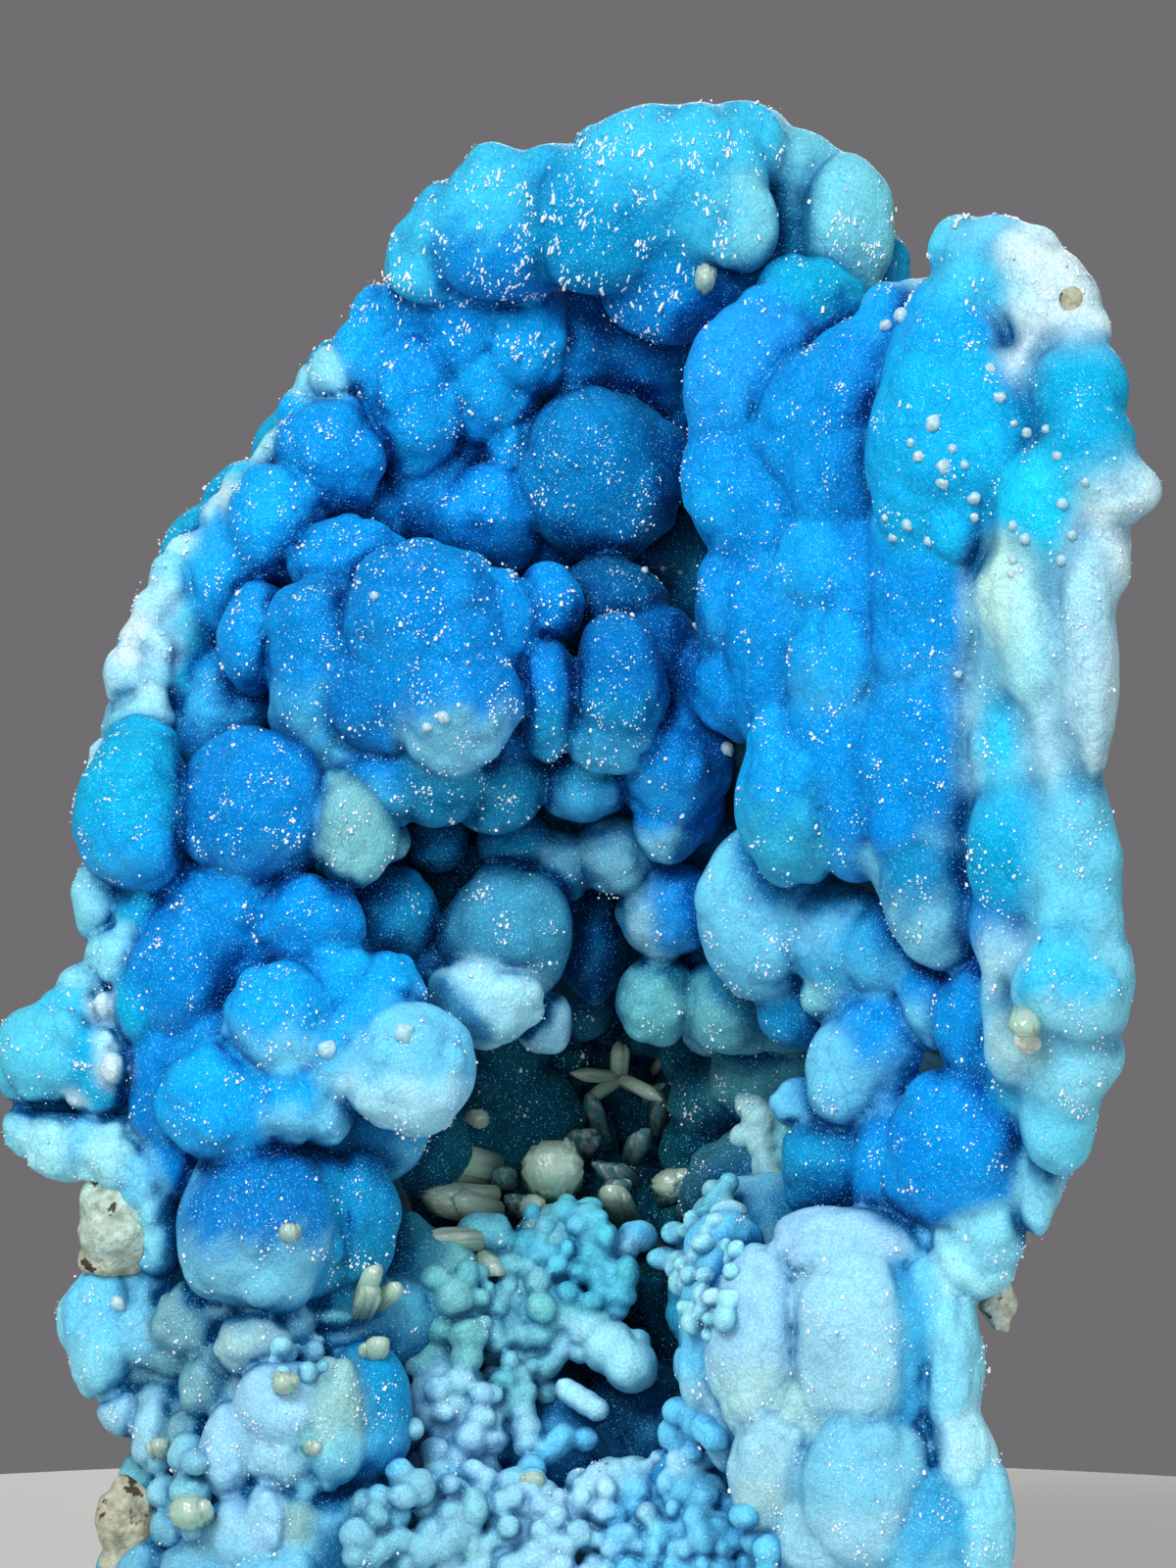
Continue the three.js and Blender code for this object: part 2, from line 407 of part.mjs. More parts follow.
export default specimen;
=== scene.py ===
"""Looks of the botryoidal hemimorphite specimen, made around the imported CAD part.

Lengths are in millimetres in the tables and fields, and in metres once they become objects.
"""
import math
from dataclasses import dataclass

import bmesh
import bpy
import numpy as np
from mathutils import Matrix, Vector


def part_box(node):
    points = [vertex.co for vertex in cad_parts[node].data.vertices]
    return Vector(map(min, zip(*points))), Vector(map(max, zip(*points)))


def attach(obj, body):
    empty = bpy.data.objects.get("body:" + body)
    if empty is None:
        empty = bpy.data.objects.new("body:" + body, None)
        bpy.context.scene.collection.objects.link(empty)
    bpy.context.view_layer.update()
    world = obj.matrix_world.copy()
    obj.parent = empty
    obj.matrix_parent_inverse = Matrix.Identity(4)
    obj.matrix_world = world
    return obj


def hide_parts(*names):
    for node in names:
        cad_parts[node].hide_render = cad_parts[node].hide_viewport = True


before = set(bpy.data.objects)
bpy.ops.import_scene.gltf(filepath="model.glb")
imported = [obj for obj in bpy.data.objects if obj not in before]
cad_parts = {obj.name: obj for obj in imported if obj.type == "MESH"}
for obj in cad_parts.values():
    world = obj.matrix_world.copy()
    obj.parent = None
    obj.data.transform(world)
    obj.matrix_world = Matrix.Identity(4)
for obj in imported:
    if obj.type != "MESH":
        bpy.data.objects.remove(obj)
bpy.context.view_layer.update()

import openvdb
from mathutils import Matrix, Vector

MM = 0.001
BODY = "root"

# The eye point that the lobes are laid out from, and the shift onto the part's origin, as in the CAD part.
EYE_DISTANCE = 300.0
EYE_HEIGHT = 45.0
MIDDLE_ACROSS = -1.3
MIDDLE_BACK = 7.3
FRAME_HEIGHT = 80.0  # the height that the view takes in where back is 0
SENSOR = 36.0
CRUST_SEED = 7
CRYSTAL_SEED = 41
GLINT_SEED = 23
MINERAL_IOR = 1.61

WHOLE_CELL = 0.5
LOBE_CELL = 0.22
ROCK_CELL = 0.4
CORAL_CELL = 0.17
LOBE_FACES = 175_000
ROCK_FACES = 75_000
CORAL_FACES = 140_000
GLINTS = 11_000
CLUSTERS = (1, 1, 1, 2, 3, 5, 13)  # how many glints stand together, each as likely
CLUSTER_MEAN = 3.7  # about their average
TONE_BLEND = 0.5  # how much wider than its creases a lobe's colour runs into the next one's
FAR = 4.0  # distance given to cells that nothing reaches
SEEN_STEP = 0.5  # spacing of the rays that look for the surface from the eye point

# Colours as they look on a screen, 0 to 255.
TINTS = {
    "deep": (0, 108, 196), "azure": (0, 146, 234), "sky": (10, 170, 248), "haze": (12, 138, 196),
    "hazy": (30, 160, 236), "bright": (20, 210, 248), "turq": (6, 176, 224), "aqua": (64, 206, 244),
    "mint": (128, 220, 230), "mintblue": (92, 212, 238), "rim": (146, 230, 246), "frost": (186, 244, 254),
    "icy": (120, 216, 250), "pale": (168, 224, 240), "lilac": (168, 220, 244), "mauve": (130, 188, 230),
    "slate": (130, 208, 232), "slateblue": (64, 172, 222), "jadeblue": (44, 174, 214),
    "jade": (50, 156, 172), "jadeice": (134, 210, 214), "green": (108, 186, 186), "olive": (158, 202, 190),
    # The near-black tint at the end of the next line and the first tint after it paint shade into the
    # deepest lobes of the cavity and the niche.
    "grey": (116, 176, 196), "teal": (18, 124, 168), "navy": (0, 76, 146), "dark": (0, 14, 28),
    "cave": (5, 46, 58), "cream": (184, 230, 224), "creamice": (166, 222, 234), "aquaice": (176, 248, 254),
    "turqice": (116, 222, 246), "near": (10, 184, 244), "violet": (26, 158, 246), "white": (226, 240, 232),
    "rock": (204, 208, 188), "matrix": (176, 166, 140), "shelf": (4, 150, 208), "blue": (0, 130, 218),
    "tealgrey": (66, 146, 178), "mintgrey": (132, 198, 198), "seafoam": (104, 210, 226),
    "jadegreen": (124, 196, 190), "slatepale": (146, 210, 224), "milk": (226, 248, 242),
    "creamglow": (206, 250, 228), "deepteal": (0, 118, 192), "drab": (132, 180, 184),
    "drabpale": (168, 206, 204), "pitted": (198, 228, 220),
}
ROCK_TINTS = ("rock", "white", "pitted")
BEHIND_TINTS = ("turq", "aqua", "slate", "turq", "jadeblue")  # growth on the back, each entry as likely

# Each lobe is (across, up, back, half width, half height, tint), as seen from the eye point, region by
# region. A tint written "a>b" turns from a at the lobe's top to b at its bottom.
CROWN = [
    (-8.3, 71.8, 3, 1.6, 1.7, "aqua"), (-6.9, 73.2, 2.9, 2, 1.9, "aqua"),
    (-4.2, 73.5, 2.6, 2.9, 3, "aqua>blue"), (-1.5, 74.3, 2.4, 2.4, 2.6, "aqua>shelf"),
    (0.5, 73.7, 1.8, 2.9, 3.1, "shelf"), (3.3, 75.3, 2.2, 3.4, 3.4, "aqua>shelf"),
    (5.6, 75.4, 1.8, 2.6, 3.4, "aqua>shelf"), (7.9, 73.4, 0.4, 1.4, 1.9, "mint"),
    (6.2, 73.6, 0.7, 1.5, 1.6, "aqua"), (7.4, 77.2, 2.2, 2.2, 1.9, "aqua"), (9, 78, 3.2, 1.2, 1, "frost"),
    (7.6, 78.5, 3.4, 1, 0.7, "frost"), (10.7, 75.8, 3, 1.7, 2, "mint"), (13.2, 73.4, 2, 1.8, 3, "mint"),
    (12.4, 75.1, 2.6, 1.3, 1.7, "mint"), (10.3, 72.6, 4, 2.8, 2.7, "jade"), (15, 70.3, 4, 1.1, 1.2, "mint"),
    (4.6, 71.6, 3.4, 3.3, 3.4, "shelf>blue"), (8.6, 70.8, 3.8, 2.9, 2.4, "turq"),
    (1, 77, 4, 1.5, 1.4, "aqua"), (3.2, 78, 3.8, 1.8, 1.2, "aqua"), (-3.4, 72, 3.2, 2.4, 1.8, "azure"),
    (-6.2, 71.2, 4, 2.5, 1.8, "azure"), (13.6, 71, 4.2, 2.2, 2, "turq"),
]
BACK_WALL = [
    (-8.5, 69.2, 5, 1.9, 1.9, "azure"), (-6.2, 68.7, 5.2, 2.6, 3, "azure"), (-3.3, 68, 4.9, 2.2, 3, "sky"),
    (-0.6, 67.4, 6.8, 2.7, 3.3, "deep"), (2.8, 67.2, 7.2, 3, 3.2, "deep"), (5.4, 66.4, 8, 2.2, 3.2, "deep"),
    (-9, 64.7, 5.2, 2.3, 3.5, "azure>sky"), (-5.2, 65.8, 6, 2.9, 3, "sky"),
    (-2.4, 64.6, 8, 2.6, 2.4, "deep"), (-3.4, 62, 5.4, 1.5, 1.8, "sky"),
    (0.7, 60.7, 5, 3.7, 3.9, "deepteal"), (-0.2, 61.9, 3.7, 2.2, 2.5, "deepteal"),
    (2.6, 60.2, 4.6, 1.9, 2.8, "deep"), (-1.4, 59.4, 4.4, 1.6, 1.8, "deepteal"),
    (1.2, 58.2, 4.8, 1.9, 1.6, "deep"), (3.4, 63, 9, 3, 3.2, "deep"), (4.8, 60, 11, 2.6, 3.2, "navy"),
    (-8.3, 59.9, 6.6, 2.5, 2.4, "deep"), (-5, 58.5, 5.2, 2.6, 2.3, "azure"),
    (-2, 57.6, 6.8, 2, 1.9, "deep"), (-13.1, 61.6, 4, 2.4, 2.7, "azure"),
    (-12.9, 65.7, 4.4, 1.1, 1.4, "rim"), (-11.2, 66.4, 5.4, 1.7, 2.2, "sky"),
    (-10.5, 68.6, 5.2, 1.4, 1.7, "sky"), (-16, 58.2, 3.4, 2.3, 2.7, "sky>azure"),
    (-12, 58.6, 6, 2.6, 2.2, "deep"), (-10.8, 62.6, 6.6, 2.2, 2.4, "deep"), (5, 57.3, 14, 3.8, 3.2, "navy"),
    (7, 57.4, 10, 1.6, 2.2, "jade"), (1.6, 56.3, 8, 3, 1.6, "navy"), (-5.6, 62.6, 7.4, 2.2, 2.2, "deep"),
    (1.2, 65, 9, 2.6, 2.4, "deep"), (-14.6, 63.2, 4.8, 1.2, 1.7, "sky"),
]
LEFT_RIM = [
    (-17.2, 60, 4.4, 1.2, 1.3, "aqua"), (-15.7, 61.6, 5, 1.1, 1.3, "rim"),
    (-14, 64.6, 5.4, 0.9, 1.5, "rim"), (-18.6, 58.3, 4, 1.1, 1.2, "frost"),
    (-20.1, 56.8, 3.8, 1.2, 1, "frost"), (-21.2, 55.3, 3.8, 1.2, 1.2, "rim"),
    (-22.2, 53.8, 3.6, 1, 1.1, "frost"), (-22.8, 52.6, 3.2, 1, 0.9, "milk"),
    (-23.5, 50.5, 3, 1.2, 1.5, "frost"), (-22.4, 50.6, 3.4, 1.2, 1.3, "rim"),
    (-22.8, 48.2, 2.6, 1.5, 1.2, "rim"), (-24.1, 46.7, 2.8, 1.1, 0.8, "frost"),
    (-19.4, 55.4, 4.6, 1.7, 2.2, "mintblue>turq"), (-20.6, 52.8, 4.8, 1.8, 2.3, "mintblue>turq"),
    (-21.2, 50.2, 4.8, 1.7, 2, "turq"), (-17.8, 57.6, 4.8, 1.5, 2, "turq"),
    (-21.6, 54.4, 3.2, 0.7, 0.8, "frost"), (-19.4, 57.4, 3.6, 0.7, 0.6, "milk"),
    (-17.9, 59.4, 4, 0.7, 0.8, "milk"), (-22.3, 49.3, 2.4, 0.8, 0.8, "frost"),
    (-16.4, 61.2, 4.8, 0.7, 0.9, "frost"), (-23.4, 51.6, 2.6, 0.6, 0.6, "milk"),
    (-21.8, 52, 3, 0.7, 0.9, "frost"), (-19, 56, 6.6, 2.4, 2.8, "turq"), (-17, 58.5, 7.4, 2.4, 2.6, "turq"),
    (-21.5, 51, 6.4, 2.2, 3, "turq"), (-22.5, 47.5, 5.4, 2, 2.6, "slate"),
    (-14.8, 61.6, 7.4, 2, 2.6, "turq"), (-12.6, 65, 7.4, 1.8, 2.4, "turq"),
    (-20, 49.2, 10.5, 2.6, 2.6, "navy"), (-18.4, 47.8, 8, 2.4, 2, "navy"),
    (-18.4, 55.6, 4.2, 1.8, 2.6, "sky"), (-24.6, 45.6, 3, 0.9, 1, "frost"),
]
SWELL = [
    (-7.6, 51.4, -0.3, 4.2, 5.2, "azure>blue"), (-13.3, 50.4, 0.8, 2.8, 4.4, "azure>slateblue"),
    (-12, 56.1, 1.4, 2.9, 2.4, "azure"), (-13.2, 52.6, -0.2, 2.9, 2.8, "blue"),
    (-8.5, 53.7, -1.9, 3.7, 3.4, "blue"), (-10.4, 49.6, -0.6, 3.2, 3.4, "deep"),
    (-6.6, 49, -2.7, 3, 3.2, "blue>slate"), (-4.6, 53, -0.8, 2, 2.8, "azure"),
    (-2, 54.2, 0, 1.8, 1.9, "azure"), (1, 54.2, 3.2, 3, 2.2, "navy"),
    (-2.1, 49.4, -1.2, 1.5, 2.9, "blue>haze"), (1.6, 50, -1.2, 2.2, 3.5, "deep>haze"),
    (1.2, 47.6, -1.1, 2.1, 1.9, "haze>slateblue"), (-14.2, 48.7, 0.2, 1.9, 2.3, "slateblue>icy"),
    (-12.3, 46.9, -0.1, 2, 1.6, "slateblue>icy"), (-10.2, 45.3, -0.4, 2.4, 2.2, "blue>slateblue"),
    (-7.7, 45.9, -0.6, 2.6, 2.7, "teal"), (-4.8, 45.3, 0.8, 2.6, 2.7, "teal"),
    (-0.1, 45.2, 1.2, 2.3, 2, "teal>slateblue"), (4.5, 46, 1, 2.7, 3.1, "blue>azure"),
    (4.2, 42.9, 1.3, 1.8, 1.7, "azure>slate"), (6.3, 49.4, 2.4, 2.5, 3, "deep"),
    (5.4, 43.9, 1.8, 1.6, 1.9, "azure"), (-16.8, 52.4, 1.6, 1.8, 2.6, "azure"),
    (-17, 49.1, 3.2, 1.2, 1.1, "azure"), (-5.6, 51.4, -1.4, 2.2, 2.4, "azure"),
    (3.2, 51.6, 2.4, 2.2, 2.6, "deep"), (-4.2, 48, 0.2, 1.6, 2.2, "deep"),
]
# The niche; its deepest lobe is tinted near black as painted shade.
NICHE = [
    (-12, 42.7, -1, 2.1, 2.9, "mintgrey"), (-12.9, 44.4, -1, 1.2, 1.4, "mintgrey"),
    (-10.2, 42.1, 0.6, 1.1, 1.1, "mintgrey"), (-7.7, 41.9, 3.2, 1.5, 1.4, "teal"),
    (-3.8, 42.2, 2.7, 1.7, 1.5, "teal"), (-1.4, 40.8, 3.4, 1.8, 1.6, "grey>teal"),
    (1.4, 41.4, 2.6, 1.9, 1.9, "grey"), (3.7, 38.5, 3.4, 2, 2.3, "grey>pale"),
    (4.9, 38.6, 2.9, 1.7, 2.2, "azure"), (-10.3, 38.3, 2, 2.5, 2.4, "haze>teal"),
    (-4.1, 37.2, 2.4, 3.2, 3.3, "tealgrey"), (-5.2, 34, 1.2, 2.7, 2.3, "frost"),
    (-2.3, 32.8, 3.2, 1.4, 1.5, "pale"), (0.2, 37.2, 7.4, 1.9, 3, "navy"), (3.6, 34, 4, 2.1, 2.1, "green"),
    (7.2, 33.7, 4, 2.6, 2.3, "green"), (-5.8, 41, 6, 2, 1.8, "dark"), (10, 33.4, 4.4, 2.2, 2, "green"),
    (-8, 35.4, 3.4, 1.8, 2.4, "navy"),
]
LEFT_WALL = [
    (-23, 43.5, 0.2, 2.7, 3.7, "turq>sky"), (-22.9, 46.8, 1.2, 1.8, 1.5, "turq"),
    (-17, 43.7, -0.2, 3.3, 3.8, "blue"), (-25, 39, 0.8, 1.2, 1.9, "rim"),
    (-22.8, 38.2, 0.8, 1.5, 1.9, "turq"), (-24, 36.2, 0.2, 1.6, 1.5, "rim"),
    (-25.6, 34.8, 0.4, 1.3, 1.1, "rim"), (-22.5, 33.7, -0.2, 1.7, 2.4, "turq"),
    (-27.2, 31.3, 0.4, 2.5, 2.4, "mintblue"), (-26.2, 33.2, 0.4, 1.7, 1.3, "aqua"),
    (-28.4, 30.4, 0.8, 1.5, 1.6, "mintblue"), (-24.9, 30.5, -0.4, 1.5, 2.2, "turq"),
    (-18.4, 38.2, 0.6, 3.2, 3, "azure"), (-14.1, 37.6, -1.4, 2.4, 2.4, "azure"),
    (-15.6, 32.7, -3, 2.6, 3, "sky>icy"), (-13.6, 31.6, -3.4, 1.3, 1.5, "frost"),
    (-15.9, 35.6, 1.9, 4.4, 4, "azure"), (-20.6, 35, -0.2, 2.5, 3.4, "blue"),
    (-17.6, 30.4, 1, 4.6, 4.6, "azure"), (-18.5, 28.7, -2.6, 3.1, 2.9, "sky"),
    (-18, 38.9, -0.6, 2, 1.8, "azure"), (-20.1, 36, -0.4, 2.2, 3, "blue"),
    (-24.6, 33.4, 1.6, 1.7, 2, "turq"), (-23.5, 29.8, 1.2, 1.7, 2.4, "turq"),
    (-15.2, 28.8, -3.4, 2, 1.9, "sky>icy"), (-13.4, 28.4, -3.2, 1.4, 1.7, "icy"),
    (-21.6, 29.5, -0.6, 1.7, 3.2, "blue"), (-12.4, 31.2, -3, 1.9, 2.5, "sky>icy"),
    (-9.2, 30.5, -3.2, 3.2, 2.9, "icy>frost"), (-11.2, 32.6, -2.4, 2.2, 2.4, "sky>icy"),
    (-10.6, 34.2, -1.8, 2.2, 2, "sky>icy"), (-13, 34.8, -2, 2.2, 2.2, "sky"),
    (-19.6, 23.3, -2.4, 0.9, 2.3, "icy"), (-16.7, 22.4, -2.2, 3.8, 3.9, "deep>slate"),
    (-14.2, 22.6, -1.6, 2.2, 3.4, "haze"), (-11.9, 22.6, -0.8, 2, 3.2, "haze>teal"),
    (-24.7, 17.2, 1, 1.8, 3.2, "icy>rim"), (-23.7, 14.7, 1, 1.1, 1.2, "icy"),
    (-26, 17.6, 1.2, 0.9, 1.6, "rim"), (-24, 19.6, 1, 1.3, 1.1, "rim"), (-22.4, 19.2, 1.4, 2.1, 2, "slate"),
    (-27, 28.7, 1.6, 1.7, 1.3, "teal"), (-23.2, 27.4, 1, 1.6, 1.6, "turq"),
    (-21, 26.5, -0.4, 1.8, 2.4, "azure"), (-24.6, 33.6, -0.8, 0.55, 0.8, "milk"),
    (-24.5, 31.9, -1.6, 0.4, 0.5, "frost"), (-24.2, 30.5, -2, 0.6, 0.8, "milk"),
    (-26, 28.9, -0.9, 0.6, 0.5, "milk"),
]
# The curled lip at the left, and the rock that shows inside it.
CURL = [
    (-28.4, 27.3, 0.6, 1.3, 1.2, "rim"), (-27, 26.6, 0, 1.6, 1.7, "aquaice"),
    (-25.2, 26.9, -0.1, 1.6, 1.5, "icy"), (-23.8, 26, -0.6, 1.6, 1.8, "aquaice"),
    (-22.6, 24.8, -0.8, 1.3, 1.8, "icy"), (-22, 23.3, -0.8, 1, 1.6, "rim"),
    (-26.4, 25.6, -0.1, 0.9, 0.9, "rim"), (-24.9, 25.4, -0.4, 1, 0.8, "aquaice"),
    (-21.7, 21.8, -0.8, 0.9, 1.4, "rim"), (-22, 20.7, -0.6, 1, 0.7, "icy"),
    (-27.8, 28.4, 1.2, 1.4, 0.8, "turqice"),
]
LOWER_LEFT = [
    (-22.3, 17.1, 0, 1.7, 1.7, "slate"), (-23.6, 12.9, 0.2, 1.2, 1.1, "pale"),
    (-17.2, 13.9, -2.6, 1.2, 1.1, "drab"), (-20.2, 17.6, -1.2, 1.8, 1.7, "drab"),
    (-17, 16.4, -3, 1.8, 1.6, "drabpale"), (-21, 15.9, -0.2, 1.4, 1.2, "drab"),
    (-18.6, 15.6, -2, 1.2, 1.1, "drab"), (-19, 18.9, -1.6, 1, 0.8, "drab"),
    (-16.2, 18.6, -2.4, 1.2, 0.7, "drab"), (-18, 18.4, -1.8, 1.6, 0.9, "pale>grey"),
    (-15, 17.4, -2.4, 1, 1.3, "grey"), (-21.2, 14.8, 1.4, 1.4, 1.4, "drab"),
    (-19.4, 14.3, -1.8, 1.4, 1.7, "drab"), (-21.8, 13.7, -0.4, 1.1, 0.9, "drab"),
    (-22, 11.9, -0.6, 1.2, 1.9, "pale"), (-20.3, 11.9, -1.8, 1.1, 1.1, "drab"),
    (-19.6, 9.4, -2.2, 1.2, 1.2, "drab"), (-18.4, 13.2, -2.4, 0.8, 0.8, "drab"),
    (-15.2, 13.1, -4, 2.5, 2.3, "lilac"), (-18, 11.1, -3.4, 1.6, 2.2, "lilac"),
    (-15.7, 10.9, -4.2, 1.7, 1.7, "pale"), (-13, 12.4, -4.4, 1.6, 2.9, "olive>rim"),
    (-11.4, 13.1, -2.8, 2.2, 3.2, "haze>slateblue"), (-20, 16, 1.8, 3.4, 2.6, "drab"),
    (-19.5, 12, 1.2, 3.4, 3, "drab"), (-21, 7, 1.6, 2.6, 3, "drab"), (-16, 18.4, 0.8, 3.4, 1.8, "drab"),
    (-15.5, 6, -1.6, 4.5, 3.6, "slate"), (-14, 16.5, -2.4, 0.6, 0.5, "pale"),
    (-14.1, 15.7, -2.8, 0.6, 0.6, "frost"), (-12.6, 15.8, -2.6, 0.5, 0.5, "pale"),
    (-13.2, 17.9, -1.6, 1.3, 0.6, "jadeice"), (-21.5, 8.8, -0.6, 0.7, 0.7, "slateblue"),
    (-20.5, 9.3, -0.8, 0.7, 0.7, "slateblue"), (-22.6, 9.6, 0.2, 1.3, 1.2, "mintgrey"),
    (-21.6, 6.8, -0.6, 1.3, 1.4, "slate"), (-22, 5, -0.8, 1.6, 1.7, "grey"),
    (-17.8, 6.9, -3.8, 1.1, 1.8, "lilac"), (-16.3, 7.4, -4.6, 1.2, 2, "lilac"),
    (-14.9, 7.2, -4.4, 0.8, 1.6, "olive"), (-14.4, 9.2, -4.4, 0.8, 0.7, "slate"),
    (-11.6, 7.4, -2.2, 2.3, 2.5, "slate"), (-19.8, 4.4, -3, 2, 1.9, "grey"),
    (-12.3, 19, -0.4, 2, 1.6, "teal"), (-15.6, 4, -4.4, 2.2, 2, "slate"),
    (-9.2, 5, -2.4, 1.8, 1.6, "slate"),
]
# What the finer coral-like growth stands on, and the back of the cavity above it, tinted near black as
# painted shade.
CORAL_BED = [
    (-7.2, 18.4, 2.8, 2, 3.4, "jadegreen"), (-1.2, 21.4, 4, 2.4, 2.2, "jadeice"),
    (-3.5, 18.5, 3.6, 2.2, 2.4, "jadeice"), (-3.4, 15.6, 3, 2, 2.2, "jadeice"),
    (-7, 13.7, 1.6, 1.7, 1.9, "slate"), (-5.6, 12, 1.6, 2.2, 2.4, "slate"),
    (-0.9, 12.6, 4.4, 1.8, 1.8, "dark"), (0.6, 16.6, 3.6, 1.6, 1.4, "jade"),
    (6.2, 20.8, 1.6, 1.7, 1.8, "slate"), (5.9, 17.8, -0.4, 1.3, 3.4, "icy>slate"),
    (5.9, 12.4, -0.9, 1.5, 1.5, "slate"), (4.9, 9.5, -2.4, 1.7, 1.8, "slateblue"),
    (8.8, 7.5, -4.2, 1, 1, "slate"), (-3.8, 7.2, -1.4, 2, 2.6, "slate"), (-1.2, 6.6, -1.6, 2, 2.2, "slate"),
    (1, 8.2, -1, 2, 1.9, "slate"), (2.2, 6, -2.4, 2.4, 2.2, "slate"), (6.4, 6, -3.4, 2.2, 2.2, "slate"),
    (-7, 7.4, -2, 2.2, 2.6, "slate"), (3.4, 17.6, 8.5, 2.4, 2.8, "dark"),
    (3.2, 13.6, 7.2, 2.6, 2.2, "dark"), (0.2, 10.6, 3.4, 2.6, 1.4, "navy"), (3, 27.4, 17, 3.2, 3, "dark"),
    (6.6, 29, 15.5, 3, 3, "cave"), (0, 30.4, 16, 3, 2.8, "dark"), (-4.4, 29.2, 12, 2.6, 2.2, "dark"),
    (-8.4, 25.6, 10.6, 2.2, 2.4, "dark"), (-3, 25.2, 11.6, 2.4, 2.2, "dark"),
    (2.2, 23.4, 12.5, 3, 2.4, "dark"), (6.2, 22.8, 10.5, 2.6, 2.2, "dark"),
    (-9.6, 19.4, 4.6, 1.6, 3, "dark"), (-9.2, 15, 2.6, 1.2, 2.4, "dark"), (9.6, 29.2, 11, 2.6, 2.8, "cave"),
    (9.4, 25.6, 9, 1.8, 2.6, "dark"), (-6.8, 23.6, 8.8, 1.9, 1.6, "dark"), (4.6, 32.8, 14, 3, 1.8, "cave"),
]
RIGHT_WALL = [
    (11.2, 68.6, 0.4, 2.7, 2.8, "turq>sky"), (8.7, 64.8, -0.4, 3.2, 4.4, "violet"),
    (10.6, 60, 0.4, 4, 6.4, "azure"), (14.4, 62, -2.6, 4.4, 6, "azure"), (12, 52, -1.6, 4.2, 5.8, "azure"),
    (18.4, 56, -6.6, 3.4, 6.6, "azure"), (17.6, 46.6, -6.4, 3.6, 6.2, "azure"),
    (14.2, 47, -4.4, 3.6, 6, "azure"), (19.2, 65, -7, 3.8, 5, "sky"),
    (8.5, 60.4, -0.7, 3.1, 3.6, "azure>sky"), (12.4, 63, -2.8, 3.4, 3.6, "azure"),
    (15.9, 66.8, -4.4, 2.5, 3, "sky"), (16, 69, -4.6, 1.4, 0.8, "frost"),
    (17.4, 69.6, -5.4, 0.9, 0.9, "frost"), (19.5, 61.8, -8, 4.8, 5.6, "near"),
    (16.6, 61.4, -7.6, 1.9, 4.4, "aqua"), (19.8, 67, -7.2, 3.3, 3.2, "sky"),
    (15, 60, -4.4, 2.6, 3, "azure"), (8, 53.9, -0.8, 2.3, 3.2, "azure>hazy"),
    (9.8, 54.6, -1.9, 2.5, 2.9, "azure"), (13.4, 55.2, -3.8, 3.4, 4, "sky>hazy"),
    (13.8, 50.4, -5.2, 3, 4.3, "sky>slateblue"), (15.9, 53.6, -4.4, 3.6, 5.4, "azure"),
    (12.4, 47.4, -3.8, 2.8, 3.2, "azure>hazy"), (18, 52, -7.6, 2.9, 4, "azure>hazy"),
    (8.2, 49.8, -0.9, 2.5, 2.3, "azure"), (10.8, 44.6, -4.8, 2.7, 4.1, "sky>jadeblue"),
    (14.4, 43.8, -5.4, 1.4, 2.7, "slateblue"), (18.6, 43.2, -8.4, 1.9, 2.9, "azure>icy"),
    (18.2, 39.6, -7.6, 2.9, 3.3, "haze>slate"), (17.2, 47.2, -7.4, 2.4, 2.8, "azure>slateblue"),
    (15.7, 44.9, -6.4, 1.3, 1.9, "azure"), (17.6, 56.2, -7.6, 2.6, 2.6, "azure"),
    (10.8, 58, -2.4, 2.6, 2.4, "azure"), (20.4, 47.8, -9.2, 1.6, 3.4, "sky>aqua"),
    (16.2, 42.4, -6.6, 2, 3.4, "azure>slate"), (9.2, 67.6, 0.2, 2.4, 1.9, "azure"),
]
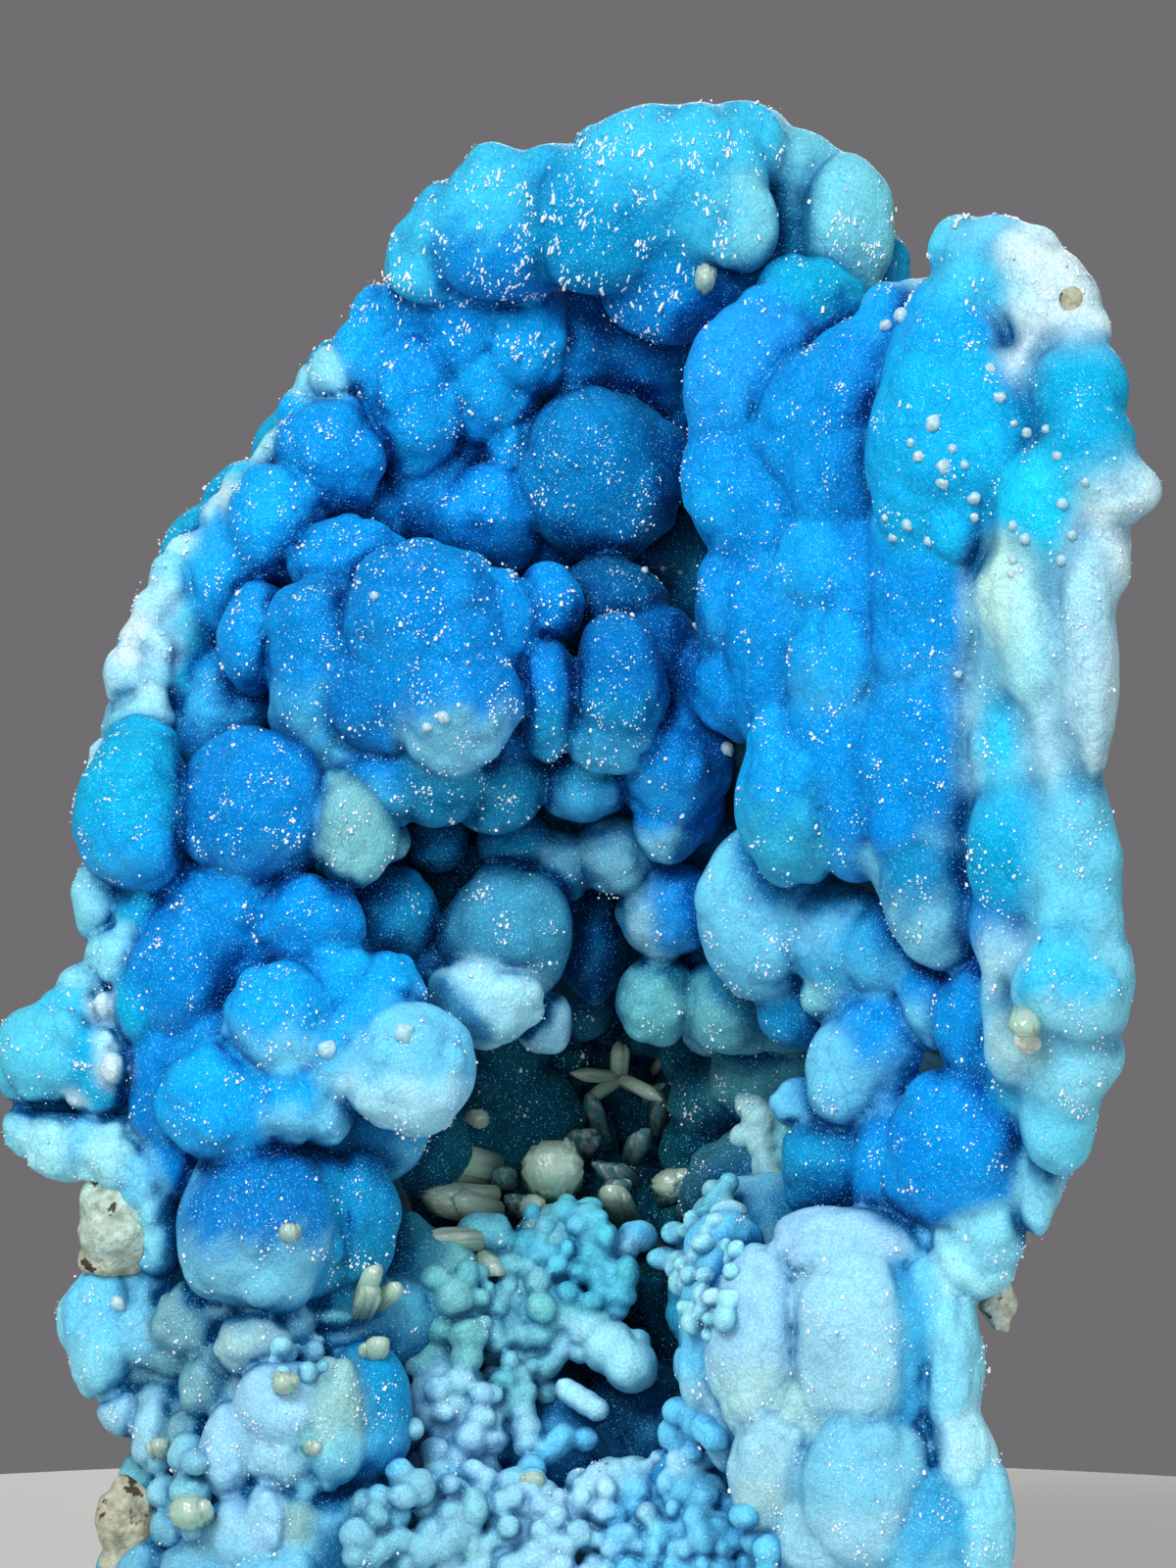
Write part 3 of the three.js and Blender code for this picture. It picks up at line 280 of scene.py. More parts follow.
RIGHT_RIM = [
    (22.4, 71.4, -9.6, 1.6, 1.5, "milk"), (24, 70.3, -10.6, 1.5, 1.5, "milk"),
    (23.6, 68.6, -10.8, 1.6, 1.3, "milk"), (25.3, 67.8, -11.7, 1, 1.3, "milk"),
    (25, 69.4, -11.2, 0.9, 1.2, "milk"), (22.4, 69.6, -10, 1.2, 1.1, "frost"),
    (22.7, 66.4, -11.4, 0.9, 1.1, "milk"), (24.6, 66.9, -11.8, 0.9, 0.7, "milk"),
    (21.4, 70, -9.2, 1, 0.9, "mint"), (22.2, 31.8, -11, 1.6, 1.8, "icy"),
    (22.4, 53.4, -12.6, 1.2, 2.4, "creamglow"), (25.6, 49.4, -13.6, 0.8, 3.4, "milk"),
    (23, 33.4, -12.6, 0.8, 1.2, "creamglow"), (22.6, 34, -9.4, 2.2, 3, "turq"),
    (22.4, 30.6, -9, 2, 2.6, "turq"), (23.4, 38, -9.6, 2, 2.6, "turq"),
    (19.2, 72.3, -8, 1.4, 1.5, "mintblue"), (21, 72.3, -8.8, 1.6, 1.3, "icy"),
    (20.4, 70.4, -8.4, 2.1, 1.7, "aqua"), (25, 64.8, -12.2, 1.9, 2.3, "turq"),
    (25.4, 61.5, -12.8, 2, 2.6, "turq>aqua"), (27, 60, -13.6, 1.4, 1.4, "rim"),
    (28.3, 60, -14.2, 0.8, 0.6, "milk"), (23.9, 58.2, -11.6, 2.7, 3.2, "bright"),
    (26.3, 57.6, -13, 1, 2.6, "milk"), (22.2, 54, -11.3, 1.8, 3.2, "creamglow"),
    (23.4, 52, -12, 1.7, 3.2, "aquaice"), (25.3, 52.2, -12.8, 1.1, 4.4, "frost"),
    (20.8, 51, -10.2, 0.7, 3.6, "rim"), (21.8, 46.4, -10.8, 1.9, 2.4, "bright>turqice"),
    (24.3, 47, -12.2, 1.4, 2.8, "frost"), (20.2, 45.6, -10.1, 0.6, 2.4, "frost"),
    (20.5, 42.6, -10, 0.5, 1.4, "aquaice"), (19.8, 49, -9.8, 0.5, 1.8, "frost"),
    (22.5, 41.6, -11.2, 2.6, 3, "turq"), (25, 41.8, -12.4, 1.7, 3.2, "turqice"),
    (24.9, 38.2, -12.4, 1.9, 2.2, "turqice"), (21.6, 38, -10.6, 1.7, 2.2, "azure"),
    (24.7, 34.6, -13.2, 2.4, 2.2, "aqua>rim"), (22.4, 36, -12.2, 0.9, 1, "frost"),
    (21.1, 36, -11.2, 0.6, 1.4, "frost"), (26.6, 35.2, -12.8, 0.9, 2.4, "rim"),
    (24.7, 31.2, -12, 1.9, 2.2, "rim"), (24, 28.4, -11, 1.6, 2.4, "turqice"),
    (22.6, 32, -11.6, 1.4, 1.4, "cream"),
]
# Bare, crumbled rock on the rims, the left curl and the lower left.
RIM_ROCK = [
    (24.6, 69.6, -11.9, 0.8, 0.7, "rock"), (20.9, 18.6, -5.6, 0.8, 1.6, "white"),
    (23, 70.9, -11, 0.6, 0.5, "white"), (-24.2, 23.9, 0.1, 1.7, 1.5, "pitted"),
    (-23.9, 22.2, -0.1, 1.9, 1.8, "pitted"), (-24.2, 20.8, 0.1, 1.6, 0.9, "rock"),
    (-26.2, 25.7, 0.5, 1, 0.7, "rock"), (-23.4, 7.6, -0.4, 1.6, 2, "rock"),
    (-23.2, 5.2, -0.4, 1.5, 1.2, "rock"), (22.6, 32.4, -12.2, 1.2, 1.4, "white"),
]
RIGHT_LOWER = [
    (9.6, 38.6, 0.2, 3.7, 4.4, "icy"), (13.7, 36.8, -2.6, 3, 3, "icy>slateblue"),
    (15.4, 37.6, -4, 1.7, 1.9, "slateblue"), (13.4, 34.4, -2.6, 2.2, 1.9, "jadeice"),
    (17.9, 34, -6.2, 1.8, 2.2, "azure>icy"), (14, 30.5, -3.4, 2.7, 2.9, "icy"),
    (20.4, 33, -7.6, 2.4, 3.6, "azure"), (19.7, 26.3, -6.6, 4.1, 4.2, "azure"),
    (17.2, 25.8, -5.4, 1.6, 2.6, "sky"), (13, 25.4, -2.4, 2.9, 2.7, "haze"),
    (16.2, 25.2, -4.4, 2.6, 3.8, "azure"), (15.8, 31.6, -3.2, 3.2, 3.8, "azure>icy"),
    (10.9, 25.4, -1.4, 0.9, 2.2, "pale"), (22.8, 25.6, -8.6, 1.2, 3.2, "rim"),
    (16.2, 30.2, -3.6, 2.2, 3, "azure"), (11.4, 34.2, 0.6, 2.6, 2.6, "haze"),
    (12, 28.6, -0.8, 2.4, 1.4, "icy"),
]
CREAM_LOBE = [
    (13.6, 20.8, -5.6, 4, 2.4, "lilac"), (16.2, 21.6, -5.4, 2.2, 1.3, "mauve"),
    (11.6, 19.6, -6.2, 1.8, 2, "pale"), (13.5, 16.4, -6.8, 2.9, 4.6, "pale>creamice"),
    (14.6, 19.4, -7, 2.2, 1.7, "lilac"), (9, 16.4, -5.6, 2.5, 4.2, "lilac>cream"),
    (9.3, 19.2, -5, 1.8, 1.5, "slate"), (9.9, 9.9, -6.9, 2.4, 3, "creamice>cream"),
    (14, 9, -7.8, 3.2, 3.6, "slate>pale"), (11.4, 12.8, -6.4, 2.2, 3, "cream"),
    (16.9, 12.6, -6.6, 1.9, 2.4, "azure"), (17.2, 17.4, -7.2, 1.7, 3.2, "icy"),
    (18.5, 15.2, -7.4, 1.4, 3.8, "rim"), (19.5, 20.8, -7.6, 1.9, 1.8, "aquaice"),
    (20.4, 22.6, -8, 1.6, 2.2, "rim"), (18.9, 10, -7.6, 1.7, 3.2, "frost"),
    (19.8, 7, -7.8, 1.7, 3.2, "rim"), (15.9, 16.4, -7.2, 1.7, 3.6, "slateblue"),
    (16.9, 6.6, -8.2, 2.1, 3.2, "slateblue>icy"), (12.2, 6.6, -7.6, 2.6, 2.6, "creamice"),
    (18.2, 21, -6.6, 1.8, 1.6, "icy"), (7, 21.2, -3.6, 1.8, 1.8, "icy"), (6.8, 18.2, -4, 1.7, 3, "icy"),
    (6.4, 15.4, -3.8, 1.5, 2.8, "icy>pale"), (11.8, 3.4, -7, 3.1, 2.6, "slate"),
    (17.6, 3, -7.4, 3, 2.6, "slate"), (7.6, 12.6, -4.8, 1.5, 2.2, "pale"),
]
# Single beads of the coral-like growth in the mouth of the cavity.
CORAL = [
    (-7.3, 19.5, 2.2, 1.1, 1.2, "jadegreen"), (-7.4, 17.6, 1.6, 1.5, 1.6, "jadegreen"),
    (-6.4, 17, 1, 1.1, 1.1, "jadeice"), (-7.8, 15.9, 0.8, 1, 0.9, "jadegreen"),
    (-5.3, 22.2, 3, 1.2, 0.8, "mint"), (-4.4, 21.7, 2.8, 0.7, 0.6, "mint"),
    (-1.4, 23, 2.6, 0.5, 0.6, "pale"), (-2.2, 22.2, 2.4, 0.5, 0.7, "pale"),
    (0, 22.3, 2.2, 0.9, 1.1, "mint"), (0.6, 21.5, 2.2, 0.8, 1.1, "seafoam"),
    (-0.2, 20.3, 1.9, 1, 0.6, "seafoam"), (-1.7, 20.9, 2, 0.7, 0.6, "seafoam"),
    (-0.9, 21.6, 2.8, 0.9, 0.9, "jadeice"), (-3.3, 21.4, 2.4, 0.5, 0.5, "seafoam"),
    (-3.8, 20.6, 2.4, 0.5, 0.5, "seafoam"), (-2.9, 20.7, 2.1, 0.5, 0.5, "seafoam"),
    (-2.6, 19.4, 1.9, 0.7, 0.7, "slatepale"), (-3.3, 19.3, 2, 0.5, 0.5, "seafoam"),
    (1.1, 19.7, 1.8, 0.8, 0.9, "icy"), (2.5, 21.9, 3, 0.9, 0.7, "icy"), (1.9, 21.2, 2.4, 0.6, 0.5, "pale"),
    (-5.5, 18.7, 1.8, 0.5, 0.5, "jadeice"), (-4.4, 18.6, 1.6, 0.6, 0.6, "slatepale"),
    (-3.9, 17.9, 1.6, 0.5, 0.5, "jadeice"), (-3.3, 17, 1.5, 0.8, 0.6, "slatepale"),
    (-4.5, 16.6, 1.3, 0.5, 0.9, "jadeice"), (-3.7, 15.8, 1, 0.5, 0.5, "frost"),
    (2.5, 16.5, 0.8, 0.6, 0.6, "seafoam"), (2.2, 15.1, 0.3, 0.6, 0.6, "seafoam"),
    (-0.2, 18.3, 1.2, 0.4, 0.4, "seafoam"), (1.4, 18.3, 1.3, 0.6, 0.6, "seafoam"),
    (-0.4, 16, 0.9, 0.5, 0.5, "seafoam"), (-1.9, 16.9, 1.6, 0.6, 0.7, "seafoam"),
    (-7, 13.6, 0.2, 1.7, 1.8, "lilac"), (-7.6, 12, -0.6, 0.6, 0.6, "pale"),
    (-6.6, 11, -0.9, 0.9, 0.6, "icy"), (-7.3, 11.2, -1.1, 0.5, 0.5, "pale"),
    (-5.7, 12.3, -0.8, 0.7, 0.8, "icy"), (-5, 12.7, -0.6, 0.6, 0.6, "pale"),
    (-5.2, 13.9, -0.2, 0.5, 0.5, "slatepale"), (-6.3, 7.7, -2.8, 0.9, 0.9, "icy"),
    (-2.5, 7.3, -2.9, 0.9, 1.2, "slatepale"), (1.5, 9, -2.5, 1.5, 1.1, "icy"),
    (2.8, 9.6, -2.6, 0.6, 0.6, "pale"), (5, 10.2, -3.7, 0.9, 1, "frost"), (4.3, 9.3, -4, 0.7, 0.7, "frost"),
    (5.5, 9, -4.2, 0.7, 0.7, "icy"), (4.5, 8.5, -4.3, 0.6, 0.6, "pale"), (5.3, 8.2, -4.4, 0.6, 0.6, "icy"),
    (6.2, 9, -4, 0.7, 0.7, "icy"), (3.1, 10.1, -2.9, 0.4, 0.4, "pale"), (3.6, 10.6, -3.1, 0.4, 0.4, "pale"),
    (5.9, 12.3, -2.4, 1.4, 1.3, "icy"), (5.3, 12.9, -3.2, 0.6, 0.6, "icy"),
    (6.3, 13.2, -3.1, 0.6, 0.6, "icy"), (4.8, 11.4, -3.2, 0.6, 0.6, "pale"),
    (6.5, 6.5, -4.8, 1.3, 1.2, "icy"), (8.8, 7.6, -5.2, 0.9, 0.9, "icy"),
    (7.6, 6.4, -5.2, 0.6, 0.6, "pale"), (5.6, 22.3, -0.2, 0.5, 0.5, "mint"),
    (6, 22.9, -0.3, 0.5, 0.5, "mint"), (7.2, 23.2, -1.6, 0.8, 0.5, "frost"),
    (4.4, 22.1, 0.6, 0.6, 0.5, "mint"), (3.9, 20.8, 0.8, 0.8, 0.5, "mint"),
    (4.4, 20.2, 0.2, 0.4, 0.4, "pale"), (4.9, 19.6, -0.4, 0.5, 0.5, "mint"),
    (4.8, 15.4, -1.2, 0.4, 0.8, "icy"), (7.9, 26.9, 5.2, 0.6, 0.7, "cream"),
    (8.3, 28.6, 5.6, 0.7, 0.7, "cream"), (9, 25.3, 4.6, 0.7, 1, "seafoam"),
    (9.6, 24.6, 4.4, 0.5, 0.5, "mint"), (-9.6, 9.9, -4.6, 0.6, 0.6, "icy"),
    (-10, 7.8, -4.8, 0.8, 0.8, "icy"), (-9.3, 9.2, -4.6, 0.7, 0.7, "icy"),
    (-10.7, 8.7, -5.2, 0.5, 0.5, "icy"), (-11.8, 6.9, -5.8, 0.6, 0.6, "icy"),
    (-11.4, 5.7, -5.8, 0.9, 0.8, "slatepale"), (-9.6, 6.2, -4.6, 0.8, 0.8, "icy"),
]
# Strands of beads: the bead's radius, the tint, and the points that it runs through, (across, up, back).
STRANDS = [
    (0.62, "cream", [(8.6, 28.6, 5.4), (8.9, 26.4, 4.8), (9.4, 24.4, 4.2)]),
    (0.58, "mintgrey", [(10, 28.2, 5.4), (10, 26, 4.8)]),
    (0.45, "cream", [(6.3, 24.2, 1), (7.4, 22.8, -0.4)]),
    (0.62, "pale", [(2.4, 9.9, -2.6), (0.6, 9.6, -2.9), (-0.6, 8, -3.4), (-1.4, 6.2, -3.8),
        (-2.4, 5.4, -4)]),
    (0.55, "icy", [(-2.8, 9.4, -2.8), (-4, 8.8, -3.2), (-4.4, 7.2, -3.6), (-4.3, 5.6, -3.8)]),
    (0.6, "pale", [(-2.4, 8.6, -3), (-2.1, 6.8, -3.6)]),
    (0.9, "aquaice", [(-1, 18.3, 1.4), (2.2, 15.3, 0.2)]),
    (0.45, "frost", [(-1.1, 14.1, -0.4), (0.4, 13.1, -0.8)]),
    (0.6, "pale", [(-3.8, 14.7, 0.6), (-3.3, 13, -0.2), (-3.1, 11.2, -0.9)]),
    (0.42, "mint", [(6.3, 23.5, 0.2), (7.2, 24.6, 0.6)]),
    (0.58, "icy", [(-6.6, 9.8, -2.2), (-7.5, 9.2, -2.4), (-8, 8.3, -2.8), (-8.3, 7.2, -3.2),
        (-7.8, 6.5, -3.4), (-6.9, 6.4, -3.4)]),
    (0.6, "icy", [(-2.9, 9.9, -1.8), (-3.8, 9.2, -2.2), (-4.2, 8.3, -2.6), (-4.4, 7.3, -2.9),
        (-4.2, 6.4, -3.1), (-3.7, 5.2, -3.3)]),
    (0.52, "pale", [(2.7, 10.1, -2.2), (1.2, 9.9, -2.2), (0.2, 9.2, -2.4), (-0.5, 8.3, -2.7),
        (-0.9, 7.3, -3), (-1.6, 5.4, -3.4)]),
    (0.58, "icy", [(1, 7.7, -3), (0.8, 6.4, -3.3), (0.9, 4.6, -3.5)]),
    (0.55, "icy", [(1.6, 7.3, -3.3), (2.3, 6.3, -3.6), (3.1, 5.2, -3.9)]),
    (0.5, "icy", [(-5.6, 6.2, -3.2), (-5.4, 5, -3.4), (-6, 4, -3.4)]),
    (0.5, "icy", [(4.2, 6.9, -4.2), (4.9, 6, -4.5), (4.4, 4.8, -4.5)]),
    (0.45, "pale", [(-2.6, 15, 1.2), (-1.7, 15.6, 1), (-1.2, 16.6, 1.2)]),
    (0.5, "icy", [(-2.2, 10.9, -0.9), (-1.2, 11.7, -0.5), (-0.2, 11.5, -0.4)]),
]
# Lumps of the rock behind and under the crust: (across, back, up, radius), not spread with their depth.
MATRIX = [
    (-4, 15.5, 66, 7.0), (5, 16.5, 66, 7.0), (11.5, 9, 65, 6.5), (-9, 13, 59, 7.0), (2, 20.5, 58, 6.5),
    (9.5, 12, 57, 6.0), (13, 4, 60, 6.5), (17, -1, 63, 5.5), (19, -5.5, 66, 3.8), (-15.5, 12, 50, 6.5),
    (-6, 12, 49, 8.5), (4, 13, 47, 8.0), (13, 5, 50, 8.0), (19, -2, 51, 5.5), (20.5, -5.5, 44, 4.5),
    (-17.5, 9, 38, 7.5), (-7, 13, 38, 7.5), (3, 20, 36, 7.0), (12, 10.5, 37, 8.0), (18.5, 0, 38, 6.5),
    (20, -2, 31, 5.0), (-16.5, 7.5, 27, 8.0), (-7.5, 15, 27, 7.0), (5, 24, 27, 6.5), (14, 11.5, 27, 7.5),
    (-15, 7, 16, 8.5), (-4, 14.5, 17, 8.0), (6, 18, 17, 8.0), (12, 7, 17, 7.5), (-15, 5, 5, 8.5),
    (-5, 8, 5, 9.5), (5, 9.5, 5, 9.5), (11.5, 3, 5, 8.5), (-10, 1.2, 4, 4.6), (-1, 0, 3.5, 5.0),
    (7, -1.5, 3.5, 5.0), (15, -3.5, 4, 5.0), (-19, 0, 4, 4.5), (-17.5, 8, 56, 4.5), (-19, 7.5, 47, 5.0),
    (-13, 9.5, 62, 4.5), (17.2, -1.5, 25, 3.8), (14.8, 1, 18, 4.2), (15.2, -2, 12, 3.8), (-21, 6, 30, 4.5),
    (-20, 6, 21, 4.5), (-20.5, 6.5, 40, 4.0),
]

# The visual pieces of the crust, each with its regions: the region's lobes, the width that creases are
# blended over, how much its lobes are widened in the view and scaled in depth, and how lumpy each lobe is.
PIECES = {
    "crust_upper": [
        (CROWN, 0.5, 1.25, 0.6, 0.7), (BACK_WALL, 0.12, 1.12, 0.85, 1.7), (LEFT_RIM, 0.3, 1.1, 0.9, 2.0),
        (SWELL, 0.12, 1.04, 0.95, 1.9),
    ],
    "crust_left": [
        (NICHE, 0.12, 1.06, 0.95, 1.2), (LEFT_WALL, 0.12, 1.1, 0.85, 1.7), (CURL, 0.2, 1.05, 0.9, 1.3),
        (LOWER_LEFT, 0.1, 1.1, 0.9, 1.4), (CORAL_BED, 0.2, 1.05, 1.0, 1.4),
    ],
    "crust_right": [
        (RIGHT_WALL, 0.14, 1.15, 0.8, 1.8), (RIGHT_RIM, 0.9, 1.2, 0.8, 0.8),
        (RIGHT_LOWER, 0.12, 1.1, 0.85, 1.2), (CREAM_LOBE, 0.12, 1.16, 0.75, 2.2),
    ],
}
# The same four numbers for the coral-like growth and for the rock on the rims.
CORAL_LOOK = (0.15, 1.2, 1.0, 1.0)
ROCK_LOOK = (0.5, 1.0, 0.8, 1.2)
STRAND_SCALE = 1.4  # the listed strands are this much thicker in the end
# Lobes put between the listed ones, the large ones first: (smallest and largest radius, spacing, margin
# kept to the outline).
FILLING = (((2.4, 3.4), 2.8, 2.4), ((1.2, 2.0), 1.5, 1.2), ((0.7, 1.0), 1.0, 0.5))
PATCH_SPACING = 1.5  # of the growth on the back
# Unevenness of the surfaces, in layers: (size, depth, seed, share of it where it isn't rock).
WAVY = ((2.6, 0.24, 13, 1.0), (0.9, 0.11, 12, 1.0))
CRUMBLY = ((6.0, 1.3, 10, 0.0), (2.6, 0.8, 11, 0.0), (1.1, 0.4, 12, 0.1))
FINE = ((0.7, 0.05, 14, 1.0),)
CHIPPED = ((0.7, 0.3, 15, 1.0),)
# Where small beads stand close together: (across, up, half width, half height, the beads' radius, tint).
BEAD_SPACING = 1.25  # in radii
DEEPEST_BEAD = 2.0
BEADED = [
    (-7.4, 17.6, 2.0, 2.7, 0.9, "jadegreen"), (-3.9, 18.6, 2.2, 2.6, 0.75, "jadeice"),
    (-0.9, 21.8, 2.2, 1.8, 0.7, "seafoam"), (-3.6, 15.4, 1.8, 2.2, 0.7, "jadeice"),
    (0.6, 19.4, 1.8, 1.4, 0.7, "seafoam"), (-6.8, 12.4, 2.2, 2.4, 0.85, "pale"),
    (-8.6, 6.6, 3.4, 3.4, 0.85, "slatepale"), (-4.6, 6.8, 3.0, 3.2, 0.75, "pale"),
    (0.2, 6.8, 3.4, 3.0, 0.75, "pale"), (3.9, 7.2, 2.6, 3.0, 0.75, "icy"), (6.8, 6.2, 2.4, 2.6, 0.75, "icy"),
    (5.9, 20.4, 1.6, 3.0, 0.6, "aquaice"), (5.4, 12.4, 1.3, 1.6, 0.8, "icy"),
    (-20.6, 9.4, 1.8, 2.4, 1.0, "slatepale"), (-14.6, 16.2, 1.6, 1.0, 0.6, "slatepale"),
]

# Crystals by CAD node: blades as (foot across, up, back, direction across, up, back, half width, half
# thickness, length, tip length), laid out as the lobes are.
CRYSTALS = {
    "crown_seed_left": [(0.1, 71.4, 1.6, 0.0, -0.3, -1.0, 0.75, 0.7, 1.9, 0.5)],
    "crown_seed_right": [(5.8, 70.4, 1.4, 0.1, 0.2, -1.0, 0.6, 0.8, 2.4, 0.6)],
    "blade_upper": [(-5.2, 25.0, 8.6, -0.62, 0.22, -0.75, 1.3, 1.1, 5.4, 1.2)],
    "blade_fan": [
        (-5.0, 23.2, 6.6, -0.75, 0.25, -0.6, 1.3, 1.0, 4.6, 1.3),
        (-4.9, 23.9, 6.6, -0.8, 0.1, -0.6, 0.9, 0.7, 4.2, 1.0),
    ],
    "blocky_crystal": [(-1.8, 24.6, 8.0, 0.0, 0.35, -0.9, 1.8, 1.5, 4.2, 0.9)],
    "pointed_crystal": [(-5.4, 21.8, 2.6, -1.0, -0.02, -0.2, 0.85, 0.7, 4.1, 1.9)],
    "striated_crystal": [(1.8, 22.6, 9.2, -0.15, 0.5, -0.85, 0.9, 0.6, 4.4, 0.9)],
    "slab_crystal": [(6.4, 24.4, 11.6, -0.7, 0.1, -0.8, 1.2, 0.9, 4.6, 0.9)],
    "star_cluster": [
        (1.6, 30.0, 11.6, -1.0, 0.12, -0.35, 0.5, 0.4, 2.9, 0.9),
        (1.6, 30.0, 11.6, 0.85, -0.4, -0.45, 0.5, 0.4, 3.0, 1.0),
        (1.5, 30.0, 11.6, 0.05, 1.0, -0.4, 0.5, 0.4, 2.2, 0.7),
        (1.6, 30.0, 11.6, -0.8, -0.5, -0.4, 0.45, 0.35, 2.4, 0.8),
    ],
    "cavity_prism": [(-5.4, 26.4, 10.2, -0.1, 0.6, -0.8, 0.8, 0.6, 3.6, 0.6)],
    "ledge_prism": [(-11.6, 18.6, -2.2, 0.35, 0.8, -0.7, 0.6, 0.5, 2.8, 0.7)],
    "ledge_chunk": [(-20.2, 7.6, -4.2, -0.1, 0.35, -1.0, 1.1, 0.9, 2.2, 0.6)],
    "rim_facet": [(22.3, 33.4, -13.6, -0.1, -0.5, -1.0, 0.9, 0.6, 2.4, 0.8)],
}

# More blades in the cavity: dim ones at its back, and clear ones in front and among the lobes at the lower
# left.
CAVITY_BLADES = [
    (-5.9, 26.2, 9.8, -0.1, 0.9, -0.5, 0.65, 0.5, 2.6, 0.6),
    (-4.6, 24.4, 8.8, 0.2, 0.4, -0.9, 0.8, 0.6, 2.8, 0.8),
    (-2.0, 27.4, 11.0, -0.2, 0.9, -0.6, 0.6, 0.5, 2.6, 1.1),
    (-0.8, 26.0, 10.4, 0.4, 0.7, -0.7, 0.8, 0.5, 2.4, 0.8),
    (0.7, 26.8, 11.4, -0.25, 0.9, -0.5, 0.5, 0.4, 3.2, 0.8),
    (2.2, 25.8, 11.0, 0.35, 0.8, -0.6, 0.7, 0.5, 2.4, 0.9),
    (3.4, 27.2, 12.4, 0.15, 0.9, -0.5, 0.5, 0.4, 2.6, 0.6),
    (1.9, 24.6, 10.0, -0.5, 0.4, -0.8, 0.8, 0.6, 3.0, 1.2),
    (0.6, 23.6, 9.2, 0.5, 0.5, -0.8, 0.8, 0.6, 2.8, 0.9),
    (3.8, 24.0, 10.0, 0.6, 0.3, -0.8, 0.8, 0.6, 3.0, 0.9),
    (-3.2, 23.0, 7.6, -0.3, 0.5, -0.8, 0.7, 0.5, 2.4, 0.8),
    (4.9, 22.8, 8.6, 0.2, 0.5, -0.8, 0.7, 0.5, 2.6, 0.8),
    (-7.8, 27.6, 9.0, 0.3, 0.7, -0.6, 0.6, 0.5, 2.2, 0.8),
    (2.6, 28.6, 15.0, 0.6, 0.5, -0.6, 0.5, 0.4, 2.6, 0.9),
    (-1.2, 29.0, 14.2, -0.7, 0.4, -0.6, 0.5, 0.4, 2.6, 0.9),
    (3.4, 21.4, 6.8, -0.5, 0.4, -0.8, 0.7, 0.5, 2.4, 0.8),
    (5.6, 26.2, 11.8, 0.5, 0.5, -0.7, 0.6, 0.5, 2.4, 0.8),
    (-7.4, 21.2, 6.0, -0.6, 0.5, -0.6, 0.6, 0.4, 2.4, 0.8),
    (2.4, 12.2, 4.6, 0.4, 0.4, -0.8, 0.6, 0.5, 2.0, 0.7),
    (3.8, 13.0, 4.8, -0.4, 0.5, -0.8, 0.6, 0.5, 2.0, 0.7),
]
CLEAR_BLADES = [
    (-3.2, 23.2, 5.0, 0.3, 0.3, -0.9, 0.7, 0.6, 2.2, 0.7),
    (-5.4, 20.9, 2.4, 0.5, -0.4, -0.7, 0.6, 0.5, 2.0, 0.7),
    (-1.6, 29.6, 14.6, -0.6, 0.3, -0.7, 0.45, 0.35, 3.0, 1.2),
    (3.4, 30.4, 14.4, 0.5, 0.6, -0.6, 0.45, 0.35, 2.8, 1.2),
    (-15.6, 14.3, -6.0, 0.2, 0.3, -0.9, 0.7, 0.6, 1.4, 0.5),
    (-11.0, 15.6, -3.8, 0.2, 0.6, -0.8, 0.7, 0.5, 2.2, 0.6),
    (-11.6, 18.0, -2.0, 0.3, 0.7, -0.7, 0.7, 0.5, 2.4, 0.6),
    (-10.6, 18.4, -1.6, 0.5, 0.6, -0.7, 0.6, 0.5, 2.2, 0.6),
    (-15.3, 21.9, -5.4, 0.1, 0.4, -0.9, 0.6, 0.5, 1.4, 0.5),
    (-14.2, 11.0, -5.6, 0.3, 0.3, -0.9, 0.5, 0.4, 1.4, 0.5),
    (-2.9, 8.9, -3.0, 0.1, 0.7, -0.7, 0.7, 0.5, 1.6, 0.5),
    (-21.6, 10.8, -1.6, -0.2, 0.5, -0.8, 0.6, 0.5, 1.6, 0.5),
]
# Clear beads on the crust: (across, up, radius).
BEADS = [
    (17.6, 63.4, 0.5), (20.5, 66.2, 0.35), (21.0, 64.7, 0.4), (16.5, 62.4, 0.3), (16.9, 61.7, 0.4),
    (18.1, 61.2, 0.45), (19.2, 61.3, 0.3), (18.1, 60.4, 0.4), (18.6, 62.1, 0.3), (19.7, 59.6, 0.4),
    (19.7, 58.6, 0.3), (21.7, 63.4, 0.3), (22.4, 62.9, 0.35), (23.4, 63.1, 0.3), (24.0, 61.7, 0.35),
    (25.4, 60.4, 0.3), (24.2, 59.3, 0.35), (24.7, 57.7, 0.3), (22.3, 57.5, 0.35), (21.7, 58.2, 0.3),
    (21.7, 56.4, 0.35), (21.6, 55.7, 0.3), (24.2, 56.4, 0.35), (-9.4, 32.3, 0.65), (-13.3, 31.5, 0.6),
    (-24.0, 18.5, 0.5), (2.9, 55.9, 0.25), (3.8, 56.0, 0.2), (4.7, 55.8, 0.2), (7.1, 46.8, 0.45),
    (15.6, 57.6, 0.35), (16.3, 58.2, 0.4), (17.4, 57.4, 0.35), (15.2, 58.6, 0.3), (18.9, 50.6, 0.3),
    (-10.9, 54.6, 0.3), (-7.4, 48.4, 0.4), (-8.2, 47.9, 0.35), (5.4, 53.0, 0.25), (16.0, 68.9, 0.5),
    (15.2, 68.4, 0.4),
]


def spread(back):
    """How much wider apart things lie at that depth, for the same place in the view from the eye point."""
    return 1 + back / EYE_DISTANCE


